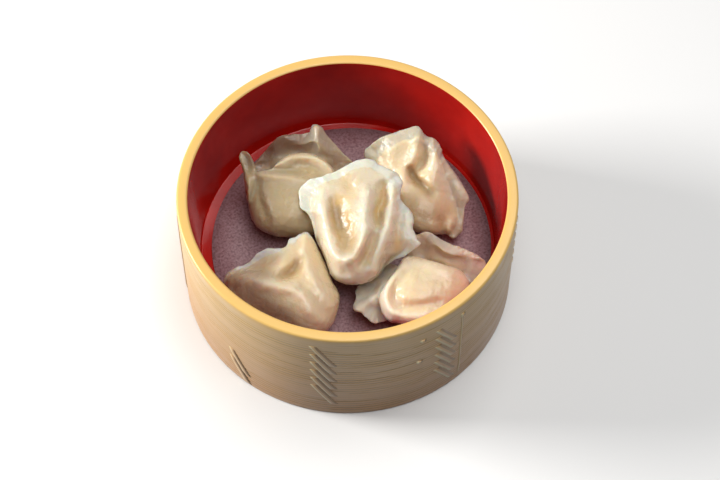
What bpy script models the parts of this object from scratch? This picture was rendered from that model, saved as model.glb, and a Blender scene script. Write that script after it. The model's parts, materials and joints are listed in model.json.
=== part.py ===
"""Five steamed gyoza on a paper disc in a round moulded steamer bowl.

Metres, +Z up, front of the bowl toward -Y, origin on the underside's centre.

The bowl is turned from one profile: a foot skirt, a raised floor and a wall whose
outside is cut by horizontal grooves and carries groups of short slanted lashing bars.

Each gyoza is a fold of dough: lobes (pouch, flange, tab) that are fused together.
A lobe is drawn in plan as a closed outline whose points say where the rim of the dough
lies, how high above the paper it is and how wide its thin flange is.  Heights rise
along lines that meet at one point above the front of the bowl, so the dough leans
forward.  Pleats are ridges and valleys that follow short curves across a lobe.
Plan sizes and heights of the dough are written in millimetres.
"""

import math
from dataclasses import dataclass

import bmesh
import bpy
import numpy as np
from mathutils import Vector
from mathutils.bvhtree import BVHTree

MM = 0.001
FIT_GAP = 0.0003

# Bowl
OUTER_RADIUS = 0.0825
BOWL_HEIGHT = 0.073
RIM_WIDTH = 0.0055
FLOOR_TOP = 0.0257
FLOOR_RADIUS = 0.0735
FLOOR_THICKNESS = 0.0032
SKIRT_THICKNESS = 0.0045
EDGE_ROUND = 0.0012
GROOVE_HEIGHTS = (0.0130, 0.0390, 0.0655)
GROOVE_DEPTH = 0.0004
GROOVE_HALF_WIDTH = 0.0011
TURN_STEPS = 60

# Lashing bars on the outside of the wall
BAR_WIDTH = 0.0034
BAR_RUN = 0.0095
BAR_DROP = 0.0170
BAR_RELIEF = 0.0005
BAR_SINK = 0.0010
BAR_PITCH = 0.0076
SIDE_GROUPS = 5
SIDE_FIRST_ANGLE = 83.5
SIDE_ANGLE_STEP = 47.5

# Paper disc
PAPER_RADIUS = 0.0699
PAPER_THICKNESS = 0.0004
PAPER_SHIFT_X = 0.0018
PAPER_STEPS = 72

# Dough
REST_Z = FLOOR_TOP + FIT_GAP + PAPER_THICKNESS + FIT_GAP
APEX = Vector((0.00604, -0.52658, 0.87902))
APEX_RISE = (APEX.z - REST_Z) / MM
STACK_GAP = 0.6
STACK_REACH = 2.2
MIN_DOUGH = 1.2
SOFTENING_SPAN = 0.07
SOFTENING_DEPTH = 0.35


@dataclass(frozen=True)
class Lashing:
    """One group of slanted bars: degrees from the front, upper end, number of bars."""

    angle: float
    top: float
    bars: int


FRONT_LASHINGS = (Lashing(-43.0, 0.0265, 2), Lashing(-11.2, 0.0655, 6), Lashing(31.5, 0.0620, 6))
SIDE_LASHINGS = tuple(
    Lashing(SIDE_FIRST_ANGLE + SIDE_ANGLE_STEP * group, 0.0640, 6) for group in range(SIDE_GROUPS)
)


@dataclass(frozen=True)
class Pleat:
    """A ridge (positive height) or valley (negative height) along a curve, in millimetres."""

    path: tuple
    height: float
    width: float


@dataclass(frozen=True)
class Lobe:
    """One fold of dough, in millimetres.

    rim holds (x, y, height, flange width) around the outline.
    """

    rim: tuple
    center: tuple
    crown: float
    under: float
    edge: float = 0.8
    steps: int = 44
    rings: tuple = (9, 5)
    pleats: tuple = ()


@dataclass(frozen=True)
class Gyoza:
    """One dumpling: the pouch first, then the lobes fused to it."""

    name: str
    color: tuple
    lobes: tuple


BACK_LEFT = Gyoza(
    name="gyoza_back_left",
    color=(0.62, 0.50, 0.34, 1.0),
    lobes=(
        Lobe(
            rim=(
                (-53, 43, 22, 0), (-52.5, 34, 17, 0), (-51, 22, 11, 0), (-48.5, 13, 8, 0),
                (-44, 7, 6, 0), (-36, 3.2, 4.5, 0), (-24, 3.0, 4.5, 0), (-13, 6, 7, 0),
                (-6, 16, 12, 0), (-4.5, 30, 21, 0), (-6.5, 42, 26, 0), (-11, 48.5, 28, 0),
                (-17, 53, 29, 0), (-23, 54.4, 29.5, 0), (-30, 53.2, 29, 0), (-36, 49, 28, 0),
                (-40, 44, 28, 0), (-47, 43, 26, 0),
            ),
            center=(-28, 27),
            crown=27.5,
            under=-7.0,
            pleats=(
                Pleat(((-44, 44.5), (-35, 43.5), (-27, 42.5), (-20, 41.5)), -2.0, 2.0),
                Pleat(((-47, 40.5), (-36, 40), (-24, 38.5)), 1.6, 2.8),
                Pleat(((-37, 47), (-31, 50.5), (-22, 51.8), (-14, 48.8), (-9, 43.5)), 1.6, 2.8),
                Pleat(((-28, 46), (-20, 45.5), (-13, 42)), -1.8, 3.2),
                Pleat(((-46.5, 36), (-44.5, 24), (-40, 12)), -1.2, 2.2),
            ),
        ),
        Lobe(
            rim=(
                (-50, 43, 11, 8), (-45.5, 52, 15, 8), (-38.5, 62, 22, 8), (-35, 65.2, 25, 8),
                (-28, 66.3, 26, 8), (-21, 67, 28, 8), (-19, 71.3, 31, 8), (-17, 72.8, 33, 8),
                (-14.5, 71.3, 32, 8), (-10.5, 65, 28, 8), (-3, 55, 22, 8), (2.5, 47, 17, 8),
                (-3, 38, 12, 8), (-22, 36, 9, 8), (-42, 38, 9, 8),
            ),
            center=(-20, 52),
            crown=19.5,
            under=17.5,
            edge=0.9,
            steps=40,
            rings=(5, 4),
            pleats=(
                Pleat(((-17, 71), (-15, 62), (-12, 50)), 2.0, 4.0),
                Pleat(((-22, 66), (-25, 58), (-27, 50)), -2.2, 4.0),
                Pleat(((-34, 64), (-37, 56), (-38, 48)), 1.5, 4.0),
            ),
        ),
        Lobe(
            rim=(
                (-56.4, 51, 27, 0), (-54.5, 46, 25, 0), (-51.5, 40, 22, 0), (-48.5, 35, 21, 0),
                (-46, 37, 23, 0), (-46.8, 44, 26, 0), (-49, 50.5, 28, 0), (-51.5, 54.3, 30, 0),
                (-54, 55.6, 30, 0), (-56, 54.6, 29, 0),
            ),
            center=(-51, 46),
            crown=29.0,
            under=21.5,
            edge=1.2,
            steps=18,
            rings=(4, 3),
            pleats=(Pleat(((-54, 54), (-51, 47), (-49, 40)), -0.9, 1.6),),
        ),
    ),
)

BACK_RIGHT = Gyoza(
    name="gyoza_back_right",
    color=(0.66, 0.53, 0.37, 1.0),
    lobes=(
        Lobe(
            rim=(
                (8, 54, 20, 7), (10, 58.3, 22, 8), (15.5, 63, 25, 8), (22, 66.6, 28, 8),
                (30, 69.5, 31, 8), (35.7, 71.3, 33, 7), (38, 69.6, 32.5, 6),
                (39.8, 66, 31, 6), (46.3, 61.6, 30, 6), (48, 57.5, 28, 6), (50, 50.5, 25, 6),
                (54.5, 42.5, 22, 6), (59, 34, 20, 6), (61.9, 25.8, 17, 6), (59.6, 20.5, 14, 5),
                (58.6, 12, 10, 4), (57.3, 6, 8, 4), (53, 1.2, 6, 3), (49, 4.3, 6, 1),
                (42, 4, 5, 0), (30, 8, 5, 0), (19, 20, 7, 0), (12, 34, 9, 3), (8.5, 47, 15, 6),
            ),
            center=(37, 31),
            crown=23.0,
            under=-6.0,
            edge=0.9,
            steps=50,
            rings=(10, 5),
            pleats=(
                Pleat(((36, 64), (35, 55), (31.5, 47), (28, 39), (26.5, 31)), 3.2, 3.2),
                Pleat(((40, 58), (39, 51), (36.5, 46), (33, 42)), -3.0, 2.6),
                Pleat(((31, 43.5), (34, 38.5), (38, 34), (42, 30)), -3.4, 2.0),
                Pleat(((44, 59), (44.5, 50), (44.5, 41), (43.5, 34)), 3.0, 3.6),
                Pleat(((50, 48), (55, 36), (57.5, 26)), 1.6, 3.0),
                Pleat(((51, 33), (52, 24), (51, 15)), -1.2, 3.0),
                Pleat(((53.5, 13), (53, 4)), 2.0, 3.2),
                Pleat(((48, 13), (47.5, 6)), -2.2, 2.4),
                Pleat(((15.5, 60), (16, 50)), -2.0, 3.0),
                Pleat(((23, 63), (22, 54), (20, 46)), 1.4, 3.4),
            ),
        ),
    ),
)

FRONT_LEFT = Gyoza(
    name="gyoza_front_left",
    color=(0.70, 0.56, 0.45, 1.0),
    lobes=(
        Lobe(
            rim=(
                (-21, 6.9, 27, 3), (-24.2, 5.3, 26, 4), (-26.5, 3, 25, 4), (-29.8, 1.7, 25, 4),
                (-31.6, -2.5, 24, 4), (-35.5, -3, 24, 4), (-41, -3.1, 23, 4),
                (-45.3, -5.6, 22, 4), (-48, -9.6, 20, 4), (-52, -13, 18, 4), (-57, -15, 16, 4),
                (-60.6, -18.2, 14, 3), (-61.8, -23, 12, 1), (-60, -30, 9, 0),
                (-54, -38, 7, 0), (-46, -45, 6, 0), (-35, -52, 5.5, 0), (-23, -56, 5.5, 0),
                (-14, -54.5, 6, 0), (-9, -50, 8, 0), (-5.2, -42, 11, 0), (-3.8, -33, 14, 0),
                (-4.6, -28.5, 16, 0), (-7.5, -22.5, 17, 0), (-10, -15, 18, 0),
                (-13.5, -6, 20, 0), (-18, 3.5, 25, 2),
            ),
            center=(-28, -23),
            crown=29.0,
            under=-6.0,
            edge=0.9,
            steps=48,
            rings=(10, 5),
            pleats=(
                Pleat(
                    ((-57, -19), (-48, -20.5), (-41, -24), (-33, -25.5), (-26, -28),
                     (-20, -35), (-15, -44)),
                    3.2, 3.6,
                ),
                Pleat(((-23, -10), (-27, -16), (-32, -20.5)), -4.6, 2.8),
                Pleat(((-21, 3), (-21.5, -8), (-18.5, -18), (-13.5, -27), (-9, -36)), 2.4, 3.2),
                Pleat(((-34, -8), (-44, -11), (-54, -16.5)), -1.5, 3.0),
                Pleat(((-32, -2), (-33, -10), (-36, -17)), 1.4, 2.6),
            ),
        ),
    ),
)

FRONT_RIGHT = Gyoza(
    name="gyoza_front_right",
    color=(0.72, 0.58, 0.46, 1.0),
    lobes=(
        Lobe(
            rim=(
                (31, -7.6, 22, 0), (36, -8.8, 25, 0), (43, -11.2, 27, 0), (50, -13.8, 27, 0),
                (54.5, -15.3, 26, 0), (58, -18.5, 23, 0), (60.6, -23.5, 20, 0),
                (60, -29, 16, 0), (57, -35, 12, 0), (52, -41.5, 8, 0), (44, -48, 6.5, 0),
                (35, -51, 5.5, 0), (26, -47.3, 5, 0), (20, -45.6, 5.5, 0), (16.8, -41, 9, 0),
                (15.3, -35.5, 14, 0), (15.6, -30, 18, 0), (18, -25, 21, 0),
                (21.5, -19, 22, 0), (25.3, -13, 22, 0), (27.8, -9, 21.5, 0),
            ),
            center=(38, -29),
            crown=29.5,
            under=-7.0,
            pleats=(
                Pleat(
                    ((30, -10.5), (24.5, -16.5), (20, -23), (17.8, -29), (18, -35),
                     (21, -40), (27, -41.5), (36, -41), (46, -39)),
                    3.0, 2.7,
                ),
                Pleat(
                    ((27, -18), (23.5, -26), (23.3, -33), (27, -36.8), (35, -36.5), (44, -34.5)),
                    -2.2, 2.6,
                ),
                Pleat(((35, -12), (45, -15), (54, -18.5)), 1.0, 3.0),
            ),
        ),
        Lobe(
            rim=(
                (32.5, 3, 21, 8), (36, 5.6, 24, 8), (40, 6.2, 25, 8), (43.3, 4.9, 25, 8),
                (46.5, 2.2, 24, 8), (50, 0, 24, 8), (60, -4.4, 22.5, 8), (65, -7.4, 21, 8),
                (68.4, -11, 19, 8), (69, -14.5, 17, 8), (66.5, -20, 14, 8), (60, -25, 11, 8),
                (48, -24, 10, 8), (36, -18, 10, 8), (29, -7, 13, 8),
            ),
            center=(48, -10),
            crown=17.5,
            under=15.5,
            edge=0.9,
            steps=38,
            rings=(5, 4),
            pleats=(
                Pleat(((40, 5), (38, -2), (36, -8)), -1.6, 3.0),
                Pleat(((63, -7), (62, -13), (60, -19)), 1.6, 4.0),
            ),
        ),
        Lobe(
            rim=(
                (4.2, -26, 8, 8), (3.4, -32, 9, 8), (2.1, -37, 9, 8), (3, -40, 8.5, 8),
                (6.3, -40.7, 8, 8), (9, -44, 7, 8), (12, -46.7, 6, 8), (15.5, -46.7, 5, 8),
                (21, -43.5, 4, 8), (25, -34, 6, 8), (26, -22, 9, 8), (25, -14, 10, 8),
                (20, -13, 8, 8), (12, -19, 6, 8),
            ),
            center=(14, -31),
            crown=12.0,
            under=4.0,
            edge=1.0,
            steps=28,
            rings=(5, 4),
            pleats=(
                Pleat(((5, -38), (10, -34), (15, -29)), 1.4, 2.6),
                Pleat(((9, -42), (13, -38)), -1.2, 1.8),
            ),
        ),
    ),
)

CENTER = Gyoza(
    name="gyoza_center",
    color=(0.86, 0.74, 0.55, 1.0),
    lobes=(
        Lobe(
            rim=(
                (-25.5, 28, 30.5, 6), (-24.4, 21, 30, 5), (-21.5, 17.6, 29, 4),
                (-19.5, 14, 28, 3), (-18, 8.5, 26, 2), (-16, 0.5, 22, 1), (-12.8, -7, 18, 0),
                (-10.8, -13, 15, 0), (-8.5, -19.7, 13, 0), (-4.5, -23.4, 11.5, 0),
                (3, -25.1, 11, 0), (10, -23.6, 12, 0), (15, -20, 14, 0), (19, -14.8, 17, 1),
                (23, -11.2, 20, 2), (28, -8.7, 23, 3), (33, -5.2, 26, 4), (37.1, -1, 29, 5),
                (35.2, 1.2, 29.5, 5), (34.4, 5, 30.5, 5), (32.9, 8.6, 31, 5),
                (33.8, 12, 32, 5), (33, 16.5, 33, 5), (31, 20.6, 33, 5), (27.6, 24.5, 34, 5),
                (27, 30, 35.5, 5), (28.4, 36, 37, 6), (26, 41, 38.5, 6), (20, 45, 39.5, 6),
                (16, 47, 39.5, 6), (13.5, 49.7, 40, 6), (9, 50.4, 40, 6), (3, 49, 39.5, 6),
                (-2, 46, 38.5, 6), (-8, 42.2, 37, 6), (-15, 39.4, 35.5, 6),
                (-21, 37, 33.5, 6), (-24.4, 33, 31.5, 6),
            ),
            center=(4, 12),
            crown=38.0,
            under=9.0,
            edge=1.0,
            steps=56,
            rings=(13, 6),
            pleats=(
                Pleat(((-5.5, 24), (-4, 14), (-3.2, 4), (-3, -3)), -6.0, 4.2),
                Pleat(((-14, 31), (-12.5, 15), (-10.5, 3), (-7, -6.5), (-2, -10.5)), 3.0, 3.4),
                Pleat(((9.5, 29), (8, 18), (8, 8), (5.5, -2), (0, -9.5)), 3.8, 3.2),
                Pleat(((19, 34), (17.8, 25), (15.2, 18), (15.8, 11)), -4.2, 2.5),
                Pleat(((22.5, 33), (22.5, 20), (20, 8), (16, -4), (13.5, -16)), 3.2, 2.8),
                Pleat(((12.5, 3), (10, -5.5), (6, -13)), -2.8, 3.2),
                Pleat(((24.5, 13), (25.2, 3), (24, -6)), -2.4, 2.4),
                Pleat(((30, 18), (29.5, 6), (33, -1.5)), 1.4, 3.4),
                Pleat(((-11, -11), (-6, -15.5), (0, -18), (6, -17.5)), -1.8, 1.8),
                Pleat(((-4, 40), (0, 34), (2, 28)), -1.4, 4.0),
            ),
        ),
    ),
)

GYOZAS = (BACK_LEFT, BACK_RIGHT, FRONT_LEFT, FRONT_RIGHT, CENTER)


def clear_scene():
    """Remove every object of the start-up scene."""
    for obj in list(bpy.data.objects):
        bpy.data.objects.remove(obj, do_unlink=True)


def make_material(name, color, roughness, metallic=0.0):
    """Return a Principled material."""
    material = bpy.data.materials.new(name)
    material.use_nodes = True
    shader = material.node_tree.nodes["Principled BSDF"]
    shader.inputs["Base Color"].default_value = color
    shader.inputs["Roughness"].default_value = roughness
    shader.inputs["Metallic"].default_value = metallic
    material.diffuse_color = color
    return material


def add_object(name, mesh, material):
    """Link a mesh as a named object with its own material, shaded smooth."""
    mesh.materials.append(material)
    obj = bpy.data.objects.new(name, mesh)
    bpy.context.scene.collection.objects.link(obj)
    mesh.shade_smooth()
    mesh.set_sharp_from_angle(angle=math.radians(40.0))
    return obj


def turned_mesh(name, profile, steps):
    """Turn a closed (radius, height) profile about Z; points at radius zero become poles."""
    bm = bmesh.new()
    rings = []
    for radius, height in profile:
        if radius == 0.0:
            rings.append([bm.verts.new((0.0, 0.0, height))])
            continue
        ring = []
        for step in range(steps):
            angle = 2.0 * math.pi * step / steps
            ring.append(bm.verts.new((radius * math.cos(angle), radius * math.sin(angle), height)))
        rings.append(ring)
    for lower, upper in zip(rings, rings[1:]):
        for step in range(steps):
            following = (step + 1) % steps
            corners = [lower[step % len(lower)], lower[following % len(lower)],
                       upper[following % len(upper)], upper[step % len(upper)]]
            bm.faces.new(list(dict.fromkeys(corners)))
    bmesh.ops.recalc_face_normals(bm, faces=bm.faces)
    mesh = bpy.data.meshes.new(name)
    bm.to_mesh(mesh)
    bm.free()
    return mesh


def bowl_profile():
    """Return the bowl's (radius, height) profile from the underside's centre to the floor's."""
    skirt_inner = OUTER_RADIUS - SKIRT_THICKNESS
    recess_top = FLOOR_TOP - FLOOR_THICKNESS
    rim_inner = OUTER_RADIUS - RIM_WIDTH
    points = [
        (0.0, recess_top),
        (skirt_inner - EDGE_ROUND, recess_top),
        (skirt_inner, recess_top - EDGE_ROUND),
        (skirt_inner, EDGE_ROUND / 2),
        (skirt_inner + EDGE_ROUND / 2, 0.0),
        (OUTER_RADIUS - EDGE_ROUND, 0.0),
        (OUTER_RADIUS, EDGE_ROUND),
    ]
    for height in GROOVE_HEIGHTS:
        points.append((OUTER_RADIUS, height - GROOVE_HALF_WIDTH))
        points.append((OUTER_RADIUS - GROOVE_DEPTH, height))
        points.append((OUTER_RADIUS, height + GROOVE_HALF_WIDTH))
    points += [
        (OUTER_RADIUS, BOWL_HEIGHT - EDGE_ROUND),
        (OUTER_RADIUS - EDGE_ROUND, BOWL_HEIGHT),
        (rim_inner + EDGE_ROUND, BOWL_HEIGHT),
        (rim_inner, BOWL_HEIGHT - EDGE_ROUND),
        (FLOOR_RADIUS + EDGE_ROUND, FLOOR_TOP + 2 * EDGE_ROUND),
        (FLOOR_RADIUS, FLOOR_TOP + EDGE_ROUND),
        (FLOOR_RADIUS - EDGE_ROUND, FLOOR_TOP),
        (0.0, FLOOR_TOP),
    ]
    return points


def lashing_bar(angle, top):
    """Return one bar, half sunk in the wall, that runs down and around from its upper end."""
    section = (
        (-BAR_WIDTH / 2, -BAR_SINK),
        (-BAR_WIDTH / 4, BAR_RELIEF),
        (BAR_WIDTH / 3, BAR_RELIEF),
        (BAR_WIDTH / 2, -BAR_SINK),
    )
    bm = bmesh.new()
    ends = []
    for run, height in ((0.0, top), (BAR_RUN, top - BAR_DROP)):
        end = []
        for across, proud in section:
            turn = angle + (run + across) / OUTER_RADIUS
            radius = OUTER_RADIUS + proud
            end.append(bm.verts.new((radius * math.sin(turn), -radius * math.cos(turn), height)))
        ends.append(end)
    upper, lower = ends
    for corner in range(len(section)):
        other = (corner + 1) % len(section)
        bm.faces.new((upper[corner], upper[other], lower[other], lower[corner]))
    bm.faces.new(upper)
    bm.faces.new(list(reversed(lower)))
    bmesh.ops.recalc_face_normals(bm, faces=bm.faces)
    mesh = bpy.data.meshes.new("lashing_bar")
    bm.to_mesh(mesh)
    bm.free()
    obj = bpy.data.objects.new("lashing_bar", mesh)
    bpy.context.scene.collection.objects.link(obj)
    return obj


def fuse(body, additions, solver="EXACT"):
    """Join the additions to the body with one Boolean union and remove them."""
    group = bpy.data.collections.new("additions")
    bpy.context.scene.collection.children.link(group)
    for item in additions:
        group.objects.link(item)
    union = body.modifiers.new("union", "BOOLEAN")
    union.operation = "UNION"
    union.operand_type = "COLLECTION"
    union.collection = group
    union.solver = solver
    bpy.context.view_layer.update()
    fused = bpy.data.meshes.new_from_object(body.evaluated_get(bpy.context.evaluated_depsgraph_get()))
    body.modifiers.clear()
    body.data = fused
    for item in additions:
        bpy.data.objects.remove(item, do_unlink=True)
    bpy.data.collections.remove(group)
    fused.shade_smooth()
    fused.set_sharp_from_angle(angle=math.radians(40.0))


def build_bowl():
    """Build the bowl and fuse the groups of lashing bars to its wall."""
    material = make_material("bowl_plastic", (0.79, 0.57, 0.26, 1.0), 0.35)
    bowl = add_object("steamer_bowl", turned_mesh("steamer_bowl", bowl_profile(), TURN_STEPS), material)
    bars = []
    for lashing in FRONT_LASHINGS + SIDE_LASHINGS:
        for index in range(lashing.bars):
            bars.append(lashing_bar(math.radians(lashing.angle), lashing.top - index * BAR_PITCH))
    fuse(bowl, bars)


def build_paper():
    """Build the paper disc that lines the floor."""
    material = make_material("paper_fibre", (0.42, 0.27, 0.29, 1.0), 0.7)
    bottom = FLOOR_TOP + FIT_GAP
    profile = [(0.0, bottom), (PAPER_RADIUS, bottom),
               (PAPER_RADIUS, bottom + PAPER_THICKNESS), (0.0, bottom + PAPER_THICKNESS)]
    paper = add_object("paper_disc", turned_mesh("paper_disc", profile, PAPER_STEPS), material)
    paper.location.x = PAPER_SHIFT_X


def smooth_curve(points, samples, closed):
    """Sample a Catmull-Rom curve through points of any dimension."""
    knots = np.array(points, dtype=float)
    if closed:
        knots = np.vstack((knots[-1:], knots, knots[:2]))
    else:
        knots = np.vstack((2 * knots[0] - knots[1], knots, 2 * knots[-1] - knots[-2]))
    spans = len(knots) - 3
    fine = []
    for span in range(spans):
        before, start, end, after = knots[span:span + 4]
        for step in range(samples):
            t = step / samples
            fine.append(0.5 * (2 * start + (end - before) * t
                               + (2 * before - 5 * start + 4 * end - after) * t ** 2
                               + (3 * start - before - 3 * end + after) * t ** 3))
    if not closed:
        fine.append(knots[-2])
    return np.array(fine)


def evenly_spaced(curve, count):
    """Resample a closed curve to points that lie evenly along it."""
    loop = np.vstack((curve, curve[:1]))
    lengths = np.concatenate(([0.0], np.cumsum(np.linalg.norm(np.diff(loop[:, :2], axis=0), axis=1))))
    targets = np.linspace(0.0, lengths[-1], count, endpoint=False)
    return np.stack([np.interp(targets, lengths, loop[:, axis]) for axis in range(loop.shape[1])], axis=1)


def distance_to_path(plan, path):
    """Return each plan point's distance to a curve and its place along it from 0 to 1."""
    curve = smooth_curve(path, 8, closed=False)
    best = np.full(len(plan), np.inf)
    place = np.zeros(len(plan))
    for index, (start, end) in enumerate(zip(curve, curve[1:])):
        step = end - start
        t = np.clip(((plan - start) @ step) / max(step @ step, 1e-9), 0.0, 1.0)
        distance = np.linalg.norm(plan - start - t[:, None] * step, axis=1)
        nearer = distance < best
        best = np.where(nearer, distance, best)
        place = np.where(nearer, (index + t) / (len(curve) - 1), place)
    return best, place


def pleat_relief(plan, pleats):
    """Return the height that the pleats add at each plan point."""
    relief = np.zeros(len(plan))
    for pleat in pleats:
        distance, place = distance_to_path(plan, pleat.path)
        taper = np.sqrt(np.clip(np.sin(np.pi * (0.12 + 0.76 * place)), 0.0, 1.0))
        relief += pleat.height * taper * np.exp(-(distance / pleat.width) ** 2)
    return relief


def swell(share, flange_share):
    """Return how far the dough has swollen between its rim (0) and its crown (1)."""
    inner = np.clip((share - flange_share) / (1.0 - flange_share), 0.0, 1.0)
    power = 0.5 + np.clip(flange_share / 0.25, 0.0, 1.0) * 0.6
    return np.power(1.0 - (1.0 - inner) ** 2, power), inner


def softened(rim):
    """Return the rim with its waves averaged out along the outline."""
    span = max(1, round(len(rim) * SOFTENING_SPAN))
    rolled = [np.roll(rim, shift, axis=0) for shift in range(-span, span + 1)]
    return np.mean(rolled, axis=0)


def lobe_sheets(lobe):
    """Return the plan and heights of a lobe's upper and lower sheets, ring by ring."""
    sharp = evenly_spaced(smooth_curve(lobe.rim, 10, closed=True), lobe.steps)
    soft = softened(sharp)
    center = np.array(lobe.center, dtype=float)
    sheets = []
    for rings, target, side in zip(lobe.rings, (lobe.crown, lobe.under), (1.0, -1.0)):
        layer = []
        for ring in range(rings + 1):
            share = (ring / rings) ** 1.5
            rim = sharp + (soft - sharp) * min(1.0, share / SOFTENING_DEPTH)
            reach = np.linalg.norm(rim[:, :2] - center, axis=1)
            flange_share = np.clip(rim[:, 3] / reach, 0.0, 0.6)
            plan = rim[:, :2] + (center - rim[:, :2]) * share
            rise, inner = swell(share, flange_share)
            inset = np.clip(share * reach / lobe.edge, 0.0, 1.0)
            roundness = lobe.edge * np.sqrt(1.0 - (1.0 - inset) ** 2)
            height = rim[:, 2] + (target - rim[:, 2]) * rise + side * roundness
            relief = pleat_relief(plan, lobe.pleats) * inset
            if side < 0:
                relief = relief * (1.0 - inner) ** 3
            layer.append((plan, height + relief))
        sheets.append(layer)
    return sheets


def to_world(plan_x, plan_y, height):
    """Place a plan point at a height along its line to the apex."""
    share = height / APEX_RISE
    foot = Vector((plan_x * MM, plan_y * MM, REST_Z))
    return foot + (APEX - foot) * share


def height_below(plan_x, plan_y, trees):
    """Return the height of the highest dough already there on the lines around a plan point."""
    around = [(0.0, 0.0)]
    for step in range(6):
        angle = math.pi * step / 3
        around.append((STACK_REACH * math.cos(angle), STACK_REACH * math.sin(angle)))
    highest = 0.0
    for shift_x, shift_y in around:
        foot = to_world(plan_x + shift_x, plan_y + shift_y, 0.0)
        for tree in trees:
            hit = tree.ray_cast(APEX, (foot - APEX).normalized())[0]
            if hit is not None:
                highest = max(highest, (hit.z - REST_Z) / MM)
    return highest


def lobe_mesh(name, lobe, trees):
    """Build one closed lobe that lies on the paper and clear above the dough already there."""
    upper, under = lobe_sheets(lobe)
    bm = bmesh.new()

    def place(plan, height, lift):
        floor = height_below(plan[0], plan[1], trees)
        clear = floor + STACK_GAP if floor > 0.0 else 0.0
        return bm.verts.new(to_world(plan[0], plan[1], max(height, clear + lift)))

    rim_ring = [place(plan, height, MIN_DOUGH / 2) for plan, height in zip(*upper[0])]
    for layer, lift in ((upper, MIN_DOUGH), (under, 0.0)):
        rows = [rim_ring]
        for plans, heights in layer[1:-1]:
            rows.append([place(plan, height, lift) for plan, height in zip(plans, heights)])
        rows.append([place(layer[-1][0][0], float(np.mean(layer[-1][1])), lift)])
        for outer, inner in zip(rows, rows[1:]):
            for step in range(lobe.steps):
                following = (step + 1) % lobe.steps
                corners = [outer[step], outer[following],
                           inner[following % len(inner)], inner[step % len(inner)]]
                bm.faces.new(list(dict.fromkeys(corners)))
    bmesh.ops.triangulate(bm, faces=bm.faces)
    bmesh.ops.recalc_face_normals(bm, faces=bm.faces)
    mesh = bpy.data.meshes.new(name)
    bm.to_mesh(mesh)
    bm.free()
    return mesh


def build_gyoza(gyoza, trees):
    """Build one dumpling and return its search tree for the ones that lie on it."""
    material = make_material(gyoza.name + "_dough", gyoza.color, 0.4)
    body = add_object(gyoza.name, lobe_mesh(gyoza.name, gyoza.lobes[0], trees), material)
    additions = []
    for lobe in gyoza.lobes[1:]:
        item = bpy.data.objects.new("lobe", lobe_mesh("lobe", lobe, trees))
        bpy.context.scene.collection.objects.link(item)
        additions.append(item)
    if additions:
        fuse(body, additions)
    bm = bmesh.new()
    bm.from_mesh(body.data)
    tree = BVHTree.FromBMesh(bm)
    bm.free()
    return tree


def main():
    """Build the bowl, the paper and the five dumplings."""
    clear_scene()
    build_bowl()
    build_paper()
    trees = []
    for gyoza in GYOZAS:
        trees.append(build_gyoza(gyoza, trees))


main()
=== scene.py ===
"""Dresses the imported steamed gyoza: a moulded steamer bowl, its paper and five dumplings.

Metres, +Z up, the front of the bowl toward -Y. Plan sizes and heights of the dough are in
millimetres, as a cook would measure a dumpling.
"""

from __future__ import annotations

import json
import logging
import math
from dataclasses import dataclass, field
from enum import Enum

import bmesh
import bpy
import numpy as np
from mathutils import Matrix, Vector
from mathutils.bvhtree import BVHTree

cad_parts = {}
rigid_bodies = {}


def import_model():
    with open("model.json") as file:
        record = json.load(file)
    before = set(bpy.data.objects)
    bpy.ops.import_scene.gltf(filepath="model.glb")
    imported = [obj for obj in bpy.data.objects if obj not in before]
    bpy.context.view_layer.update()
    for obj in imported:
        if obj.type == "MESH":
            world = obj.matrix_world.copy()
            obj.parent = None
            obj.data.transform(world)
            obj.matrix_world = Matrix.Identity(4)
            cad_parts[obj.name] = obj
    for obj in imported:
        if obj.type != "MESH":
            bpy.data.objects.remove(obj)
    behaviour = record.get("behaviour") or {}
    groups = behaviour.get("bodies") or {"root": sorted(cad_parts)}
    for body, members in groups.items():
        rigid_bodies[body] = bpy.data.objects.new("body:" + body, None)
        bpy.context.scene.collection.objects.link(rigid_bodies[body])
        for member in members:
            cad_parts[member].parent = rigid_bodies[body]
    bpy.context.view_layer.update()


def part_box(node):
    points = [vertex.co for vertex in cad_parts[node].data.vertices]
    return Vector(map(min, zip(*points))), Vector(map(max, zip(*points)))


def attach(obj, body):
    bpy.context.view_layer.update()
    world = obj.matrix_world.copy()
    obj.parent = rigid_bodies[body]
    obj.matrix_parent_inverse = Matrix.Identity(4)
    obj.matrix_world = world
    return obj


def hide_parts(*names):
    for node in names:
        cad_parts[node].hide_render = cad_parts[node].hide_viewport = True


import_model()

log = logging.getLogger("steamed_gyoza")

MM = 0.001
FULL_TURN = 2 * math.pi
TINY = 1e-9
ROOT_BODY = "root"

# Sizes that the dressed pieces take from the solids
BOWL_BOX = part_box("steamer_bowl")
PAPER_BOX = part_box("paper_disc")
BOWL_HEIGHT = BOWL_BOX[1][2]
BAR_RELIEF = 0.0005
OUTER_RADIUS = (BOWL_BOX[1][0] - BOWL_BOX[0][0]) / 2 - BAR_RELIEF
PAPER_RADIUS = (PAPER_BOX[1][0] - PAPER_BOX[0][0]) / 2
PAPER_TOP = PAPER_BOX[1][2]
PAPER_SHIFT_X = (PAPER_BOX[1][0] + PAPER_BOX[0][0]) / 2
FIT_GAP = 0.0003
REST_Z = PAPER_TOP + FIT_GAP

# Where the heap is seen from: a dumpling's plan points keep to their lines to this point as
# they rise, so that its outline stays the one that was drawn
SIGHT_APEX = Vector((0.00604, -0.52658, 0.87902))
APEX_RISE = (SIGHT_APEX.z - REST_Z) / MM

# Turns the pattern of dents away from the axes
DENT_TURN = np.array(((0.78, -0.51, 0.36), (0.60, 0.75, -0.28), (-0.13, 0.43, 0.89)))

# The stretch of a half wave that a pleat follows, so that it is lower towards its ends
PLEAT_START = 0.12
PLEAT_SPAN = 0.76

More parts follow.
